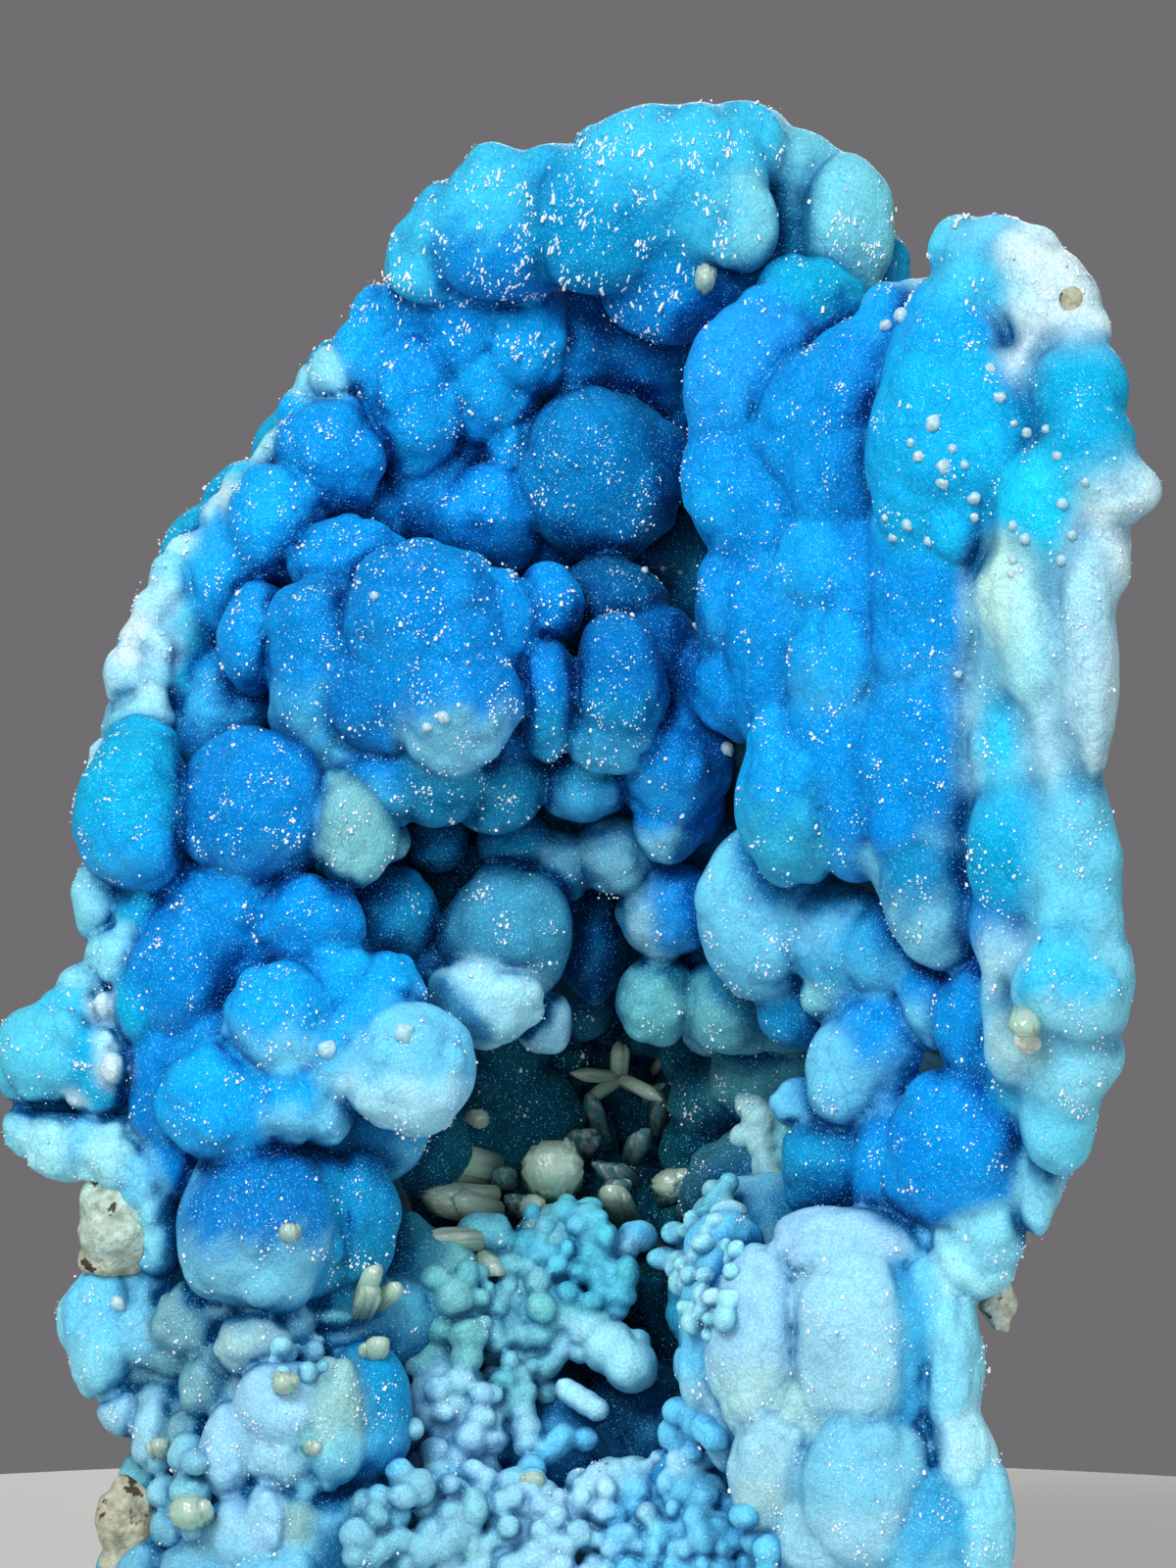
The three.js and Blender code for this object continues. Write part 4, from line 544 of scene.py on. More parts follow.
def placed(across, up, back):
    """A place as seen from the eye point, in the part's frame in millimetres."""
    k = spread(back)
    return np.array([across * k - MIDDLE_ACROSS, back - MIDDLE_BACK, EYE_HEIGHT + (up - EYE_HEIGHT) * k])


def linear(colour):
    """A screen colour, 0 to 255, as linear light."""
    c = np.asarray(colour, float) / 255
    return np.where(c <= 0.04045, c / 12.92, ((c + 0.055) / 1.055) ** 2.4)


def lattice(i, j, k, seed):
    """A steady pseudo-random number, -1 to 1, for each lattice point."""
    h = (i * 73856093) ^ (j * 19349663) ^ (k * 83492791) ^ (seed * 2654435761)
    h = (h ^ (h >> 13)) * 1274126177
    h = h ^ (h >> 16)
    return (h & 0xFFFF) / 32767.5 - 1


def noise(points, size, seed):
    """Smooth noise, about -1 to 1, with bumps as wide as size."""
    p = points / size
    base = np.floor(p).astype(np.int64)
    f = p - base
    f = f * f * (3 - 2 * f)
    total = np.zeros(len(points))
    for dx in (0, 1):
        for dy in (0, 1):
            for dz in (0, 1):
                weight = np.abs(1 - dx - f[:, 0]) * np.abs(1 - dy - f[:, 1]) * np.abs(1 - dz - f[:, 2])
                total += weight * lattice(base[:, 0] + dx, base[:, 1] + dy, base[:, 2] + dz, seed)
    return total


@dataclass
class Lobe:
    """An ellipsoid of the crust. Its colour turns from top to bottom around the height turn."""

    centre: np.ndarray
    half: np.ndarray
    top: tuple
    bottom: tuple
    turn: float
    rock: float
    blend: float


class Field:
    """Distances to joined ellipsoids on a grid, with the tint and roughness of the nearest one.

    gap is how much farther off the second nearest is, so it is small near a crease.
    """

    def __init__(self, low, high, cell):
        self.low = np.asarray(low, float)
        self.cell = cell
        self.count = np.ceil((np.asarray(high) - self.low) / cell).astype(int) + 1
        self.distance = np.full(self.count, FAR, np.float32)
        self.gap = np.full(self.count, FAR, np.float32)
        self.tint = np.zeros((*self.count, 4), np.float32)

    def add(self, lobe, margin=1.2):
        """Joins one lobe, blended over its creases."""
        reach = np.asarray(lobe.half) + margin
        start = np.maximum(np.floor((lobe.centre - reach - self.low) / self.cell).astype(int), 0)
        stop = np.minimum(np.ceil((lobe.centre + reach - self.low) / self.cell).astype(int) + 1, self.count)
        if (stop <= start).any():
            return
        block = tuple(slice(a, b) for a, b in zip(start, stop))
        scaled, steep = np.float32(0), np.float32(0)
        axes = []
        for axis in range(3):
            shape = [1, 1, 1]
            shape[axis] = -1
            place = (self.low[axis] + np.arange(start[axis], stop[axis]) * self.cell).astype(np.float32)
            offset = place - np.float32(lobe.centre[axis])
            axes.append(place.reshape(shape))
            scaled = scaled + (offset / np.float32(lobe.half[axis])).reshape(shape) ** 2
            steep = steep + (offset / np.float32(lobe.half[axis] ** 2)).reshape(shape) ** 2
        scaled, steep = np.sqrt(scaled), np.sqrt(np.maximum(steep, 1e-9))
        here = scaled * (scaled - 1) / steep
        old = self.distance[block]
        ahead = old - here
        mix = np.clip(0.5 + 0.5 * ahead / lobe.blend, 0, 1)
        tone = np.clip(0.5 + 0.5 * ahead / (lobe.blend + (1 - lobe.rock) * TONE_BLEND), 0, 1)
        self.gap[block] = np.where(ahead > 0, ahead, np.minimum(self.gap[block], -ahead))
        colour = np.array([*linear(lobe.top), lobe.rock], np.float32)
        if lobe.bottom != lobe.top:
            x, y, z = axes
            wave = 0.5 * np.sin(2.3 * x + 1.1 * y) + 0.4 * np.sin(3.7 * x - 2.9 * z)
            wave = wave + 0.3 * np.sin(5.9 * y + 4.3 * z)
            width = max(1.2, 1.2 * lobe.half[2])
            lower = np.clip(0.5 - (z - lobe.turn + 0.25 * width * wave) / width, 0, 1)
            lower = lower * lower * (3 - 2 * lower)
            under = np.array([*linear(lobe.bottom), lobe.rock], np.float32)
            colour = colour + (under - colour) * lower[..., None]
        self.tint[block] += (colour - self.tint[block]) * tone[..., None]
        self.distance[block] = old + (here - old) * mix - lobe.blend * mix * (1 - mix)

    def near(self, width):
        """Indices and places of the cells within width of the surface."""
        cells = np.argwhere(np.abs(self.distance) < width)
        return cells, self.low + cells * self.cell

    def seen(self):
        """For rays from the eye point: whether and where each meets the solid, and if that is rock."""
        across, up = np.meshgrid(np.arange(-31, 31, SEEN_STEP), np.arange(1, 83, SEEN_STEP), indexing="ij")
        hit = np.zeros(across.shape, bool)
        place = np.zeros((*across.shape, 3))
        for back in np.arange(self.low[1] + MIDDLE_BACK, MIDDLE_BACK - self.low[1], 0.6 * self.cell):
            points = np.moveaxis(placed(across, up, np.full(across.shape, back)), 0, -1)
            cells = np.round((points - self.low) / self.cell).astype(int)
            inside = ((cells >= 0) & (cells < self.count)).all(-1)
            cells = np.clip(cells, 0, self.count - 1)
            new = ~hit & inside & (self.distance[cells[..., 0], cells[..., 1], cells[..., 2]] < 0)
            place[new] = points[new]
            hit |= new
        cells = np.clip(np.round((place - self.low) / self.cell).astype(int), 0, self.count - 1)
        rough = self.tint[cells[..., 0], cells[..., 1], cells[..., 2], 3]
        return hit, place, rough

    def sample(self, values, points):
        """Values of a grid between its cells, at points."""
        p = np.clip((points - self.low) / self.cell, 0, self.count - 1.001)
        base = p.astype(int)
        f = (p - base).astype(np.float32)
        total = 0.0
        for dx in (0, 1):
            for dy in (0, 1):
                for dz in (0, 1):
                    weight = np.abs(1 - dx - f[:, 0]) * np.abs(1 - dy - f[:, 1]) * np.abs(1 - dz - f[:, 2])
                    found = values[base[:, 0] + dx, base[:, 1] + dy, base[:, 2] + dz]
                    total = total + (weight[:, None] * found if found.ndim > 1 else weight * found)
        return total

    def roughen(self, size, depth, seed, smooth_share=0.0):
        """Pushes the surface in and out by noise: on rock in full, and most of all at the back."""
        cells, points = self.near(1.6)
        where = tuple(cells.T)
        share = smooth_share + (1 - smooth_share) * self.tint[where][:, 3]
        share *= np.clip(0.7 + 0.08 * points[:, 1], 0.6, 1.4)
        self.distance[where] += (depth * share * noise(points, size, seed)).astype(np.float32)

    def cut_base(self):
        """Cuts everything flat at the part's base."""
        below = -(self.low[2] + np.arange(self.count[2]) * self.cell)
        self.distance = np.maximum(self.distance, below[None, None, :].astype(np.float32))

    def mesh(self, name, faces, whole):
        """The surface as a mesh object of at most that many triangles, fewest where the whole buries it."""
        grid = openvdb.FloatGrid(FAR)
        grid.copyFromArray(self.distance)
        points, quads = grid.convertToQuads(isovalue=0.0)
        places = points * self.cell + self.low
        buried = np.clip(-whole.sample(whole.distance, places) / 0.8 - 0.4, 0, 1)
        return thinned(new_mesh(name, places * MM, quads), faces, buried)


def new_mesh(name, places, polygons):
    """A mesh from arrays of places and of equal-sized polygons."""
    polygons = np.asarray(polygons, np.int32)
    mesh = bpy.data.meshes.new(name)
    mesh.vertices.add(len(places))
    mesh.vertices.foreach_set("co", np.asarray(places, np.float32).ravel())
    mesh.loops.add(polygons.size)
    mesh.loops.foreach_set("vertex_index", polygons.ravel())
    mesh.polygons.add(len(polygons))
    mesh.polygons.foreach_set("loop_start", np.arange(len(polygons), dtype=np.int32) * polygons.shape[1])
    mesh.update(calc_edges=True)
    mesh.validate()
    return mesh


def linked(name, data):
    """A new object in the scene."""
    obj = bpy.data.objects.new(name, data)
    bpy.context.scene.collection.objects.link(obj)
    return obj


def smoothed(mesh):
    mesh.polygons.foreach_set("use_smooth", np.ones(len(mesh.polygons), bool))


def thinned(mesh, faces, buried):
    """The mesh as an object, its triangles collapsed to at most faces: buried ones first, then any."""
    obj = linked(mesh.name, mesh)
    group = obj.vertex_groups.new(name="buried")
    steps = 4
    level = np.round(buried * steps).astype(int)
    for step in range(1, steps + 1):
        group.add(np.nonzero(level == step)[0].tolist(), step / steps, "REPLACE")
    for only in (group.name, ""):
        triangles = sum(len(p.vertices) - 2 for p in obj.data.polygons)
        if triangles <= faces:
            break
        collapse = obj.modifiers.new("collapse", "DECIMATE")
        collapse.ratio = faces / triangles
        collapse.vertex_group = only
        collapse.vertex_group_factor = 0.00001 if only else 1.0
        evaluated = obj.evaluated_get(bpy.context.evaluated_depsgraph_get())
        made = bpy.data.meshes.new_from_object(evaluated)
        obj.modifiers.clear()
        before = obj.data
        obj.data = made
        bpy.data.meshes.remove(before)
        made.name = obj.name
    obj.vertex_groups.clear()
    smoothed(obj.data)
    return obj


def places_of(mesh):
    out = np.empty(len(mesh.vertices) * 3, np.float32)
    mesh.vertices.foreach_get("co", out)
    return out.reshape(-1, 3)


def normals_of(mesh):
    out = np.empty(len(mesh.vertices) * 3, np.float32)
    mesh.vertex_normals.foreach_get("vector", out)
    return out.reshape(-1, 3)


def paint(obj, field, whole, fineness):
    """Writes the surface's tint and what the materials need to know about each point as attributes.

    rough: rock. crease: near where two lobes meet; the crust lightens there as a painted highlight. groove:
    in a fine hollow; the crust darkens there as painted shade. open: clear of the rest of the specimen; the
    crust darkens where
    it is low, as painted shade. under: facing down, low on it. front: bare rock that shows between the lobes
    from the front, which the rock turns deep teal as painted shade.
    """
    mesh = obj.data
    points = places_of(mesh) / MM
    normals = normals_of(mesh)
    tint = field.sample(field.tint, points)
    gap = field.sample(field.gap, points)
    colour = np.ones((len(points), 4), np.float32)
    colour[:, :3] = tint[:, :3]
    mesh.attributes.new("tint", "FLOAT_COLOR", "POINT").data.foreach_set("color", colour.ravel())

    def openness(around, reaches):
        clear = [around.sample(around.distance, points + normals * reach) / reach for reach in reaches]
        return np.clip(clear, 0, 1).mean(0)

    x, y, z = points.T
    # where bare matrix shows from the front between the rims: the rock material paints it deep teal as shade
    right_end = np.where((y < -2) & (z > 24), 20.5, 12.5)
    between_rims = np.clip(np.minimum(right_end - x, 23 + x), 0, 1)
    matrix_coloured = np.clip(5 - 40 * np.abs(tint[:, :3] - linear(TINTS["matrix"])).max(axis=1), 0, 1)
    facing = np.clip(-1.5 * normals[:, 1], 0, 1)
    values = {
        "rough": tint[:, 3],
        "crease": np.exp(-np.maximum(gap, 0) / (0.3 * fineness)),
        "groove": 1 - openness(field, (0.35 * fineness, 0.9 * fineness)),
        "open": openness(whole, (1.8, 3.4)),
        "under": np.clip(-normals[:, 2] - 0.15, 0, 1) * np.clip((60 - z) / 20, 0.1, 1),
        "front": facing * np.clip(66 - z, 0, 1) * between_rims * matrix_coloured,
    }
    for name, value in values.items():
        mesh.attributes.new(name, "FLOAT", "POINT").data.foreach_set("value", value.astype(np.float32))


def add_piece(obj, slot, material, *replaced):
    """Gives a piece its material, says what it rides on, and hides the CAD parts that it replaces.
    slot is not used.
    """
    obj.data.materials.clear()
    obj.data.materials.append(material)
    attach(obj, BODY)
    if replaced:
        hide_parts(*replaced)
    return obj


# ---- materials


class Nodes:
    """A short way to write a material's node tree."""

    def __init__(self, name):
        self.material = bpy.data.materials.new(name)
        self.material.use_nodes = True
        self.tree = self.material.node_tree
        self.shader = self.tree.nodes["Principled BSDF"]

    def add(self, kind, **inputs):
        node = self.tree.nodes.new(kind)
        for key, value in inputs.items():
            self.give(node.inputs[key.replace("_", " ")], value)
        return node

    def give(self, socket, value):
        """Links a value to a socket, or sets it there."""
        if isinstance(value, bpy.types.NodeSocket):
            self.tree.links.new(value, socket)
        else:
            socket.default_value = value

    def attribute(self, name, output="Fac"):
        node = self.tree.nodes.new("ShaderNodeAttribute")
        node.attribute_name = name
        return node.outputs[output]

    def noise(self, scale, detail=3.0, roughness=0.6):
        place = self.tree.nodes.new("ShaderNodeTexCoord").outputs["Object"]
        sizes = {"Scale": scale, "Detail": detail, "Roughness": roughness}
        return self.add("ShaderNodeTexNoise", Vector=place, **sizes).outputs["Fac"]

    def cells(self, scale):
        """Rounded cells: the distance from their middles, and from their edges."""
        place = self.tree.nodes.new("ShaderNodeTexCoord").outputs["Object"]
        found = []
        for feature in ("F1", "DISTANCE_TO_EDGE"):
            node = self.add("ShaderNodeTexVoronoi", Vector=place, Scale=scale)
            node.feature = feature
            found.append(node.outputs["Distance"])
        return found

    def span(self, value, from_low, from_high, to_low, to_high):
        """The value's place between the first two numbers, as the same place between the last two."""
        ends = {"From_Min": from_low, "From_Max": from_high, "To_Min": to_low, "To_Max": to_high}
        return self.add("ShaderNodeMapRange", Value=value, **ends).outputs["Result"]

    def math(self, operation, a, b):
        node = self.tree.nodes.new("ShaderNodeMath")
        node.operation = operation
        for socket, value in zip(node.inputs, (a, b)):
            self.give(socket, value)
        return node.outputs["Value"]

    def mix(self, factor, a, b, blend="MIX"):
        node = self.tree.nodes.new("ShaderNodeMix")
        node.data_type = "RGBA"
        node.blend_type = blend
        for socket, value in zip((node.inputs["Factor"], node.inputs[6], node.inputs[7]), (factor, a, b)):
            self.give(socket, value)
        return node.outputs[2]

    def set(self, **inputs):
        """Sets or links the shader's own sockets."""
        for key, value in inputs.items():
            self.give(self.shader.inputs[key.replace("_", " ")], value)


def screen(red, green, blue):
    """A screen colour, 0 to 255, as a socket takes it."""
    return (*linear((red, green, blue)), 1.0)


def crust_material(name, depth=1.0):
    """Blue hemimorphite, translucent and velvety with druse; painted shade darkens its recesses and hollows,
    painted highlights lighten lobe edges, and painted sparkle dots it.
    """
    n = Nodes(name)
    # painted shade: darker where the rest of the specimen closes round the surface, up to depth
    recess_shade = n.span(n.attribute("open"), 0.2, 0.95, depth, 0.0)
    cloud = n.noise(380, 2.0)
    # paler on low faces that point down, patchy by cloud noise
    paler_below = n.mix(n.math("MULTIPLY", n.attribute("under"), n.span(cloud, 0.3, 0.6, 0.0, 0.35)),
                  n.attribute("tint", "Color"), screen(110, 214, 240))
    cloudy = n.mix(n.span(cloud, 0.45, 0.7, 0.0, 0.45), paler_below, screen(4, 70, 70), "SCREEN")
    # painted highlight: lighter along lobe edges beside the creases
    edge_highlighted = n.mix(n.span(n.attribute("crease"), 0.05, 0.4, 0.0, 0.8), cloudy, screen(8, 80, 84), "SCREEN")
    shaded = n.mix(recess_shade, edge_highlighted, screen(86, 150, 186), "MULTIPLY")
    # painted shade: darker in fine hollows between lobes
    hollow_shade = n.span(n.attribute("groove"), 0.1, 0.55, 0.0, depth)
    hollow_shaded = n.mix(hollow_shade, shaded, screen(72, 138, 176), "MULTIPLY")
    cells, edges = n.cells(1050)
    veins = n.math("MULTIPLY", n.span(edges, 0.0, 0.12, 0.28, 0.0), n.span(cloud, 0.35, 0.55, 1.0, 0.2))
    veined = n.mix(veins, hollow_shaded, screen(70, 140, 180), "MULTIPLY")
    grains = n.span(n.noise(8200, 1.0), 0.35, 0.65, 0.0, 0.38)
    grained = n.mix(grains, veined, screen(120, 170, 215), "MULTIPLY")
    # painted sparkle: sparse pale pin-point specks that stand in for glints
    painted_sparkle = n.span(n.noise(13000, 0.0, 0.5), 0.7, 0.78, 0.0, 1.0)
    sparkled = n.mix(painted_sparkle, grained, screen(120, 200, 230), "SCREEN")
    n.set(Base_Color=sparkled, Roughness=n.span(n.noise(6000, 0.0), 0.3, 0.7, 0.32, 0.6), IOR=MINERAL_IOR)
    n.set(Specular_Tint=screen(40, 160, 255), Specular_IOR_Level=0.4)
    n.set(Subsurface_Weight=0.3, Subsurface_Radius=(0.1, 0.8, 1.0), Subsurface_Scale=0.6 * MM)
    n.set(Sheen_Weight=0.25, Sheen_Roughness=0.35, Sheen_Tint=screen(0, 180, 255))
    fine = n.math("ADD", n.noise(8200, 1.0), n.math("MULTIPLY", n.noise(1800, 2.0), 1.6))
    height = n.math("ADD", fine, n.math("MULTIPLY", cells, -1.7))
    bump = n.add("ShaderNodeBump", Height=height, Strength=0.8, Distance=0.06 * MM)
    n.set(Normal=bump.outputs["Normal"])
    return n.material


def rock_material(name, staining, stain_tint, pit_tint):
    """Dull, crumbly rock, stained in patches and darker in its hollows; painted shade turns it deep teal
    where it shows from the front between the lobes; blue where the crust has grown over it.
    """
    n = Nodes(name)
    stain = n.span(n.noise(420, 5.0), 0.42, 0.6, 0.0, staining)
    stained = n.mix(stain, n.attribute("tint", "Color"), screen(*stain_tint))
    crumbled = n.span(n.noise(2400, 4.0), 0.35, 0.65, 0.0, 0.7)
    crumbs = n.mix(crumbled, stained, screen(*stain_tint), "MULTIPLY")
    # darker and browner in fine hollows
    pitted = n.mix(n.span(n.attribute("groove"), 0.1, 0.6, 0.0, 0.9), crumbs, screen(*pit_tint), "MULTIPLY")
    speckled = n.mix(n.span(n.noise(900, 3.0), 0.6, 0.65, 0.0, 0.95), pitted, screen(58, 42, 24))
    grown_over = n.mix(n.span(n.noise(4300, 2.0, 0.7), 0.35, 0.65, 0.0, 0.6), n.attribute("tint", "Color"),
                       screen(90, 140, 190), "MULTIPLY")
    # painted shade: bare rock seen from the front between the lobes is turned deep teal
    bare = n.mix(n.span(n.attribute("front"), 0.1, 0.6, 0.0, 1.0), speckled, screen(10, 62, 80))
    colour = n.mix(n.span(n.attribute("rough"), 0.3, 0.7, 0.0, 1.0), grown_over, bare)
    n.set(Base_Color=colour, Roughness=0.85, IOR=1.5, Specular_IOR_Level=0.3)
    height = n.math("ADD", n.noise(2600, 4.0), n.math("MULTIPLY", n.noise(800, 4.0), 1.5))
    bump = n.add("ShaderNodeBump", Height=height, Strength=1.0, Distance=0.18 * MM)
    n.set(Normal=bump.outputs["Normal"])
    return n.material


def crystal_material(name, tint, clear):
    """Clear to cloudy hemimorphite crystal, faintly tinted, with fibres along its growth."""
    n = Nodes(name)
    growth = n.attribute("growth", "Vector")
    fibres = n.add("ShaderNodeTexNoise", Vector=growth, Scale=3400, Detail=2.0).outputs["Fac"]
    cloud = n.span(n.noise(700), 0.35, 0.65, 0.0, 1.0)
    streaked = n.mix(n.span(fibres, 0.45, 0.7, 0.0, 1.0), screen(*tint), screen(246, 255, 246))
    n.set(Base_Color=n.mix(n.math("MULTIPLY", cloud, 0.7), streaked, screen(*tint)))
    n.set(Roughness=n.span(fibres, 0.35, 0.7, 0.04, 0.2), IOR=MINERAL_IOR, Transmission_Weight=clear)
    n.set(Subsurface_Weight=0.4, Subsurface_Radius=(1.0, 1.0, 0.8), Subsurface_Scale=1.0 * MM)
    absorbed = n.add("ShaderNodeVolumeAbsorption", Color=screen(*tint), Density=60.0)
    n.tree.links.new(absorbed.outputs["Volume"], n.tree.nodes["Material Output"].inputs["Volume"])
    bump = n.add("ShaderNodeBump", Height=fibres, Strength=0.9, Distance=0.12 * MM)
    n.set(Normal=bump.outputs["Normal"])
    return n.material


def glint_material(name):
    """Small bright crystals, white to faintly blue."""
    n = Nodes(name)
    bluish = n.span(n.noise(700), 0.3, 0.7, 0.0, 1.0)
    n.set(Base_Color=n.mix(bluish, screen(255, 255, 255), screen(205, 232, 250)))
    n.set(Roughness=0.08, IOR=MINERAL_IOR, Coat_Weight=0.5, Coat_Roughness=0.03)
    return n.material


# ---- the crust and the coral-like growth


def grown(centre, half, top, bottom, rng, blend, lumps=1.0, rock=0.0):
    """One lobe, with some smaller ones that stand a little proud of it, mostly on the side that is seen."""
    turn = centre[2] - 0.15 * half[2]
    lobes = [Lobe(centre, half, top, bottom, turn, rock, blend)]
    size = half.mean()
    satellites = round(lumps * (12 if size > 1.6 else 6 if size > 0.85 else 2))
    for _ in range(satellites):
        way = rng.normal(size=3)
        way[1] = -0.8 * abs(way[1])
        way /= np.linalg.norm(way)
        scale = rng.uniform(0.3, 0.7)
        stand = half * (1 - scale + rng.uniform(0.04, 0.14))
        shift = rng.normal(0, 6) * np.array([0.3, 1, 1])
        shades = [tuple(np.clip(np.array(tint) + shift, 0, 255)) for tint in (top, bottom)]
        lobes.append(Lobe(centre + way * stand, half * scale, *shades, turn, rock, 0.6 * blend))
    return lobes


def two_tones(tint):
    """The top and bottom colours of a listed tint."""
    top, _, bottom = tint.partition(">")
    return TINTS[top], TINTS[bottom or top]


def lobes_of(rows, rng, blend, widen, depth, lumps):
    """Listed lobes, widened in the view and scaled in depth, with their foremost points staying in place."""
    lobes = []
    for across, up, back, half_width, half_height, tint in rows:
        rock = 1.0 if tint in ROCK_TINTS else 0.0
        wider = 1.0 if rock else widen
        half = np.array([half_width * wider, (half_width + half_height) / 2, half_height * wider])
        half *= spread(back)
        centre = placed(across, up, back)
        centre[1] += half[1] * (depth - 1)
        half[1] *= depth
        lobes += grown(centre, half, *two_tones(tint), rng, blend, lumps, rock)
    return lobes


def inset(mask, cells):
    """The mask without what lies within so many cells of its outline."""
    for _ in range(cells):
        inner = mask.copy()
        inner[1:] &= mask[:-1]
        inner[:-1] &= mask[1:]
        inner[:, 1:] &= mask[:, :-1]
        inner[:, :-1] &= mask[:, 1:]
        mask = inner
    return mask


def near_any(spot, taken, spacing):
    """Whether the spot is nearer than spacing to one that is taken."""
    return len(taken) > 0 and np.min(np.linalg.norm(taken - spot, axis=1)) < spacing


def fill_between(field, known, rng, radius, spacing, margin):
    """Lobes on rock seen from the front, by the piece they join, tinted as the listed ones near them."""
    hit, place, rough = field.seen()
    spots = place[inset(hit, round(margin / SEEN_STEP)) & (rough > 0.5)]
    rng.shuffle(spots)
    taken = np.empty((0, 3))
    filled = {name: [] for name in PIECES}
    places = np.array([place for place, *_ in known])
    for spot in spots:
        if near_any(spot, taken, spacing):
            continue
        taken = np.vstack([taken, spot])
        size = rng.uniform(*radius)
        half = size * np.array([rng.uniform(0.85, 1.2), 0.7, rng.uniform(0.85, 1.2)])
        reach = np.linalg.norm(places - spot, axis=1)
        nearest = np.argsort(reach)[:4]
        share = 1 / (reach[nearest] + 0.4) ** 3
        share /= share.sum()
        tones = [sum(s * np.array(known[m][tone]) for s, m in zip(share, nearest)) for tone in (1, 2)]
        centre = spot + np.array([0, 0.3 * size, 0])
        lobes = grown(centre, half, *map(tuple, tones), rng, 0.15)
        filled[known[nearest[0]][3]] += lobes
        for lobe in lobes:
            field.add(lobe)
    return filled


def beaded(field, rng):
    """Small beads, close together, on what is seen of the coral-like growth."""
    _, place, _ = field.seen()
    lobes = []
    for across, up, half_width, half_height, radius, tint in BEADED:
        middle = placed(across, up, 0.0)
        sideways = (place[..., 0] - middle[0]) / half_width
        upwards = (place[..., 2] - middle[2]) / half_height
        spots = place[sideways ** 2 + upwards ** 2 < 1]
        rng.shuffle(spots)
        taken = np.empty((0, 3))
        for spot in spots:
            if spot[1] > DEEPEST_BEAD or near_any(spot, taken, BEAD_SPACING * radius):
                continue
            taken = np.vstack([taken, spot])
            size = radius * rng.uniform(0.65, 1.1)
            shift = rng.normal(0, 9) + rng.normal(0, 3, 3)
            top = tuple(np.clip(np.array(TINTS[tint]) + shift, 0, 255))
            centre = spot + rng.normal(0, 0.15, 3) - np.array([0, rng.uniform(0.0, 0.5 * radius), 0])
            lobes += grown(centre, size * rng.uniform(0.85, 1.2, 3), top, top, rng, 0.2)
    return lobes


def patches_behind(field, rng):
    """Thin turquoise growth in patches on the sides and back of the rock, away from the front."""
    cells, points = field.near(field.cell * 0.6)
    slopes = [field.sample(field.distance, points + step) - field.sample(field.distance, points - step)
              for step in np.eye(3) * field.cell]
    away = slopes[1] > -0.3 * np.linalg.norm(slopes, axis=0)
    patchy = noise(points, 9.0, 31) + 0.4 * noise(points, 3.5, 32) > 0.34
    bare = field.tint[tuple(cells.T)][:, 3] > 0.5
    spots = points[away & patchy & bare & (points[:, 2] > 1.0)]
    rng.shuffle(spots)
    lobes = []
    taken = np.empty((0, 3))
    for spot in spots:
        if near_any(spot, taken, PATCH_SPACING):
            continue
        taken = np.vstack([taken, spot])
        size = rng.uniform(0.7, 1.8)
        tint = TINTS[rng.choice(BEHIND_TINTS)]
        lobes += grown(spot, size * rng.uniform(0.8, 1.2, 3), tint, tint, rng, 0.2)
    return lobes


def strand(radius, tint, points, rng, blend):
    """Beads of about that radius along the line through points."""
    lobes = []
    tones = two_tones(tint)
    for a, b in zip(points, points[1:]):
        a, b = np.array(a, float), np.array(b, float)
        count = max(1, round(np.linalg.norm(b - a) / (1.05 * radius)))
        for step in range(count + (b == points[-1]).all()):
            size = radius * rng.uniform(0.85, 1.12)
            centre = placed(*(a + (b - a) * step / count)) + rng.normal(0, 0.06 * radius, 3)
            lobes += grown(centre, np.full(3, size), *tones, rng, blend)
    return lobes


def fitted(name, lobes, cell, faces, whole, material, roughness, fineness=1.0):
    """A piece from lobes, on a grid that fits them, with its attributes written to it."""
    low = np.min([lobe.centre - lobe.half for lobe in lobes], 0) - 1.5
    high = np.max([lobe.centre + lobe.half for lobe in lobes], 0) + 1.5
    low = np.maximum(low, (whole.low[0], whole.low[1], -1.0))
    field = Field(low, high, cell)
    for lobe in lobes:
        field.add(lobe)
    for layer in roughness:
        field.roughen(*layer)
    field.cut_base()
    obj = field.mesh(name, faces, whole)
    paint(obj, field, whole, fineness)
    return add_piece(obj, "crust", material)


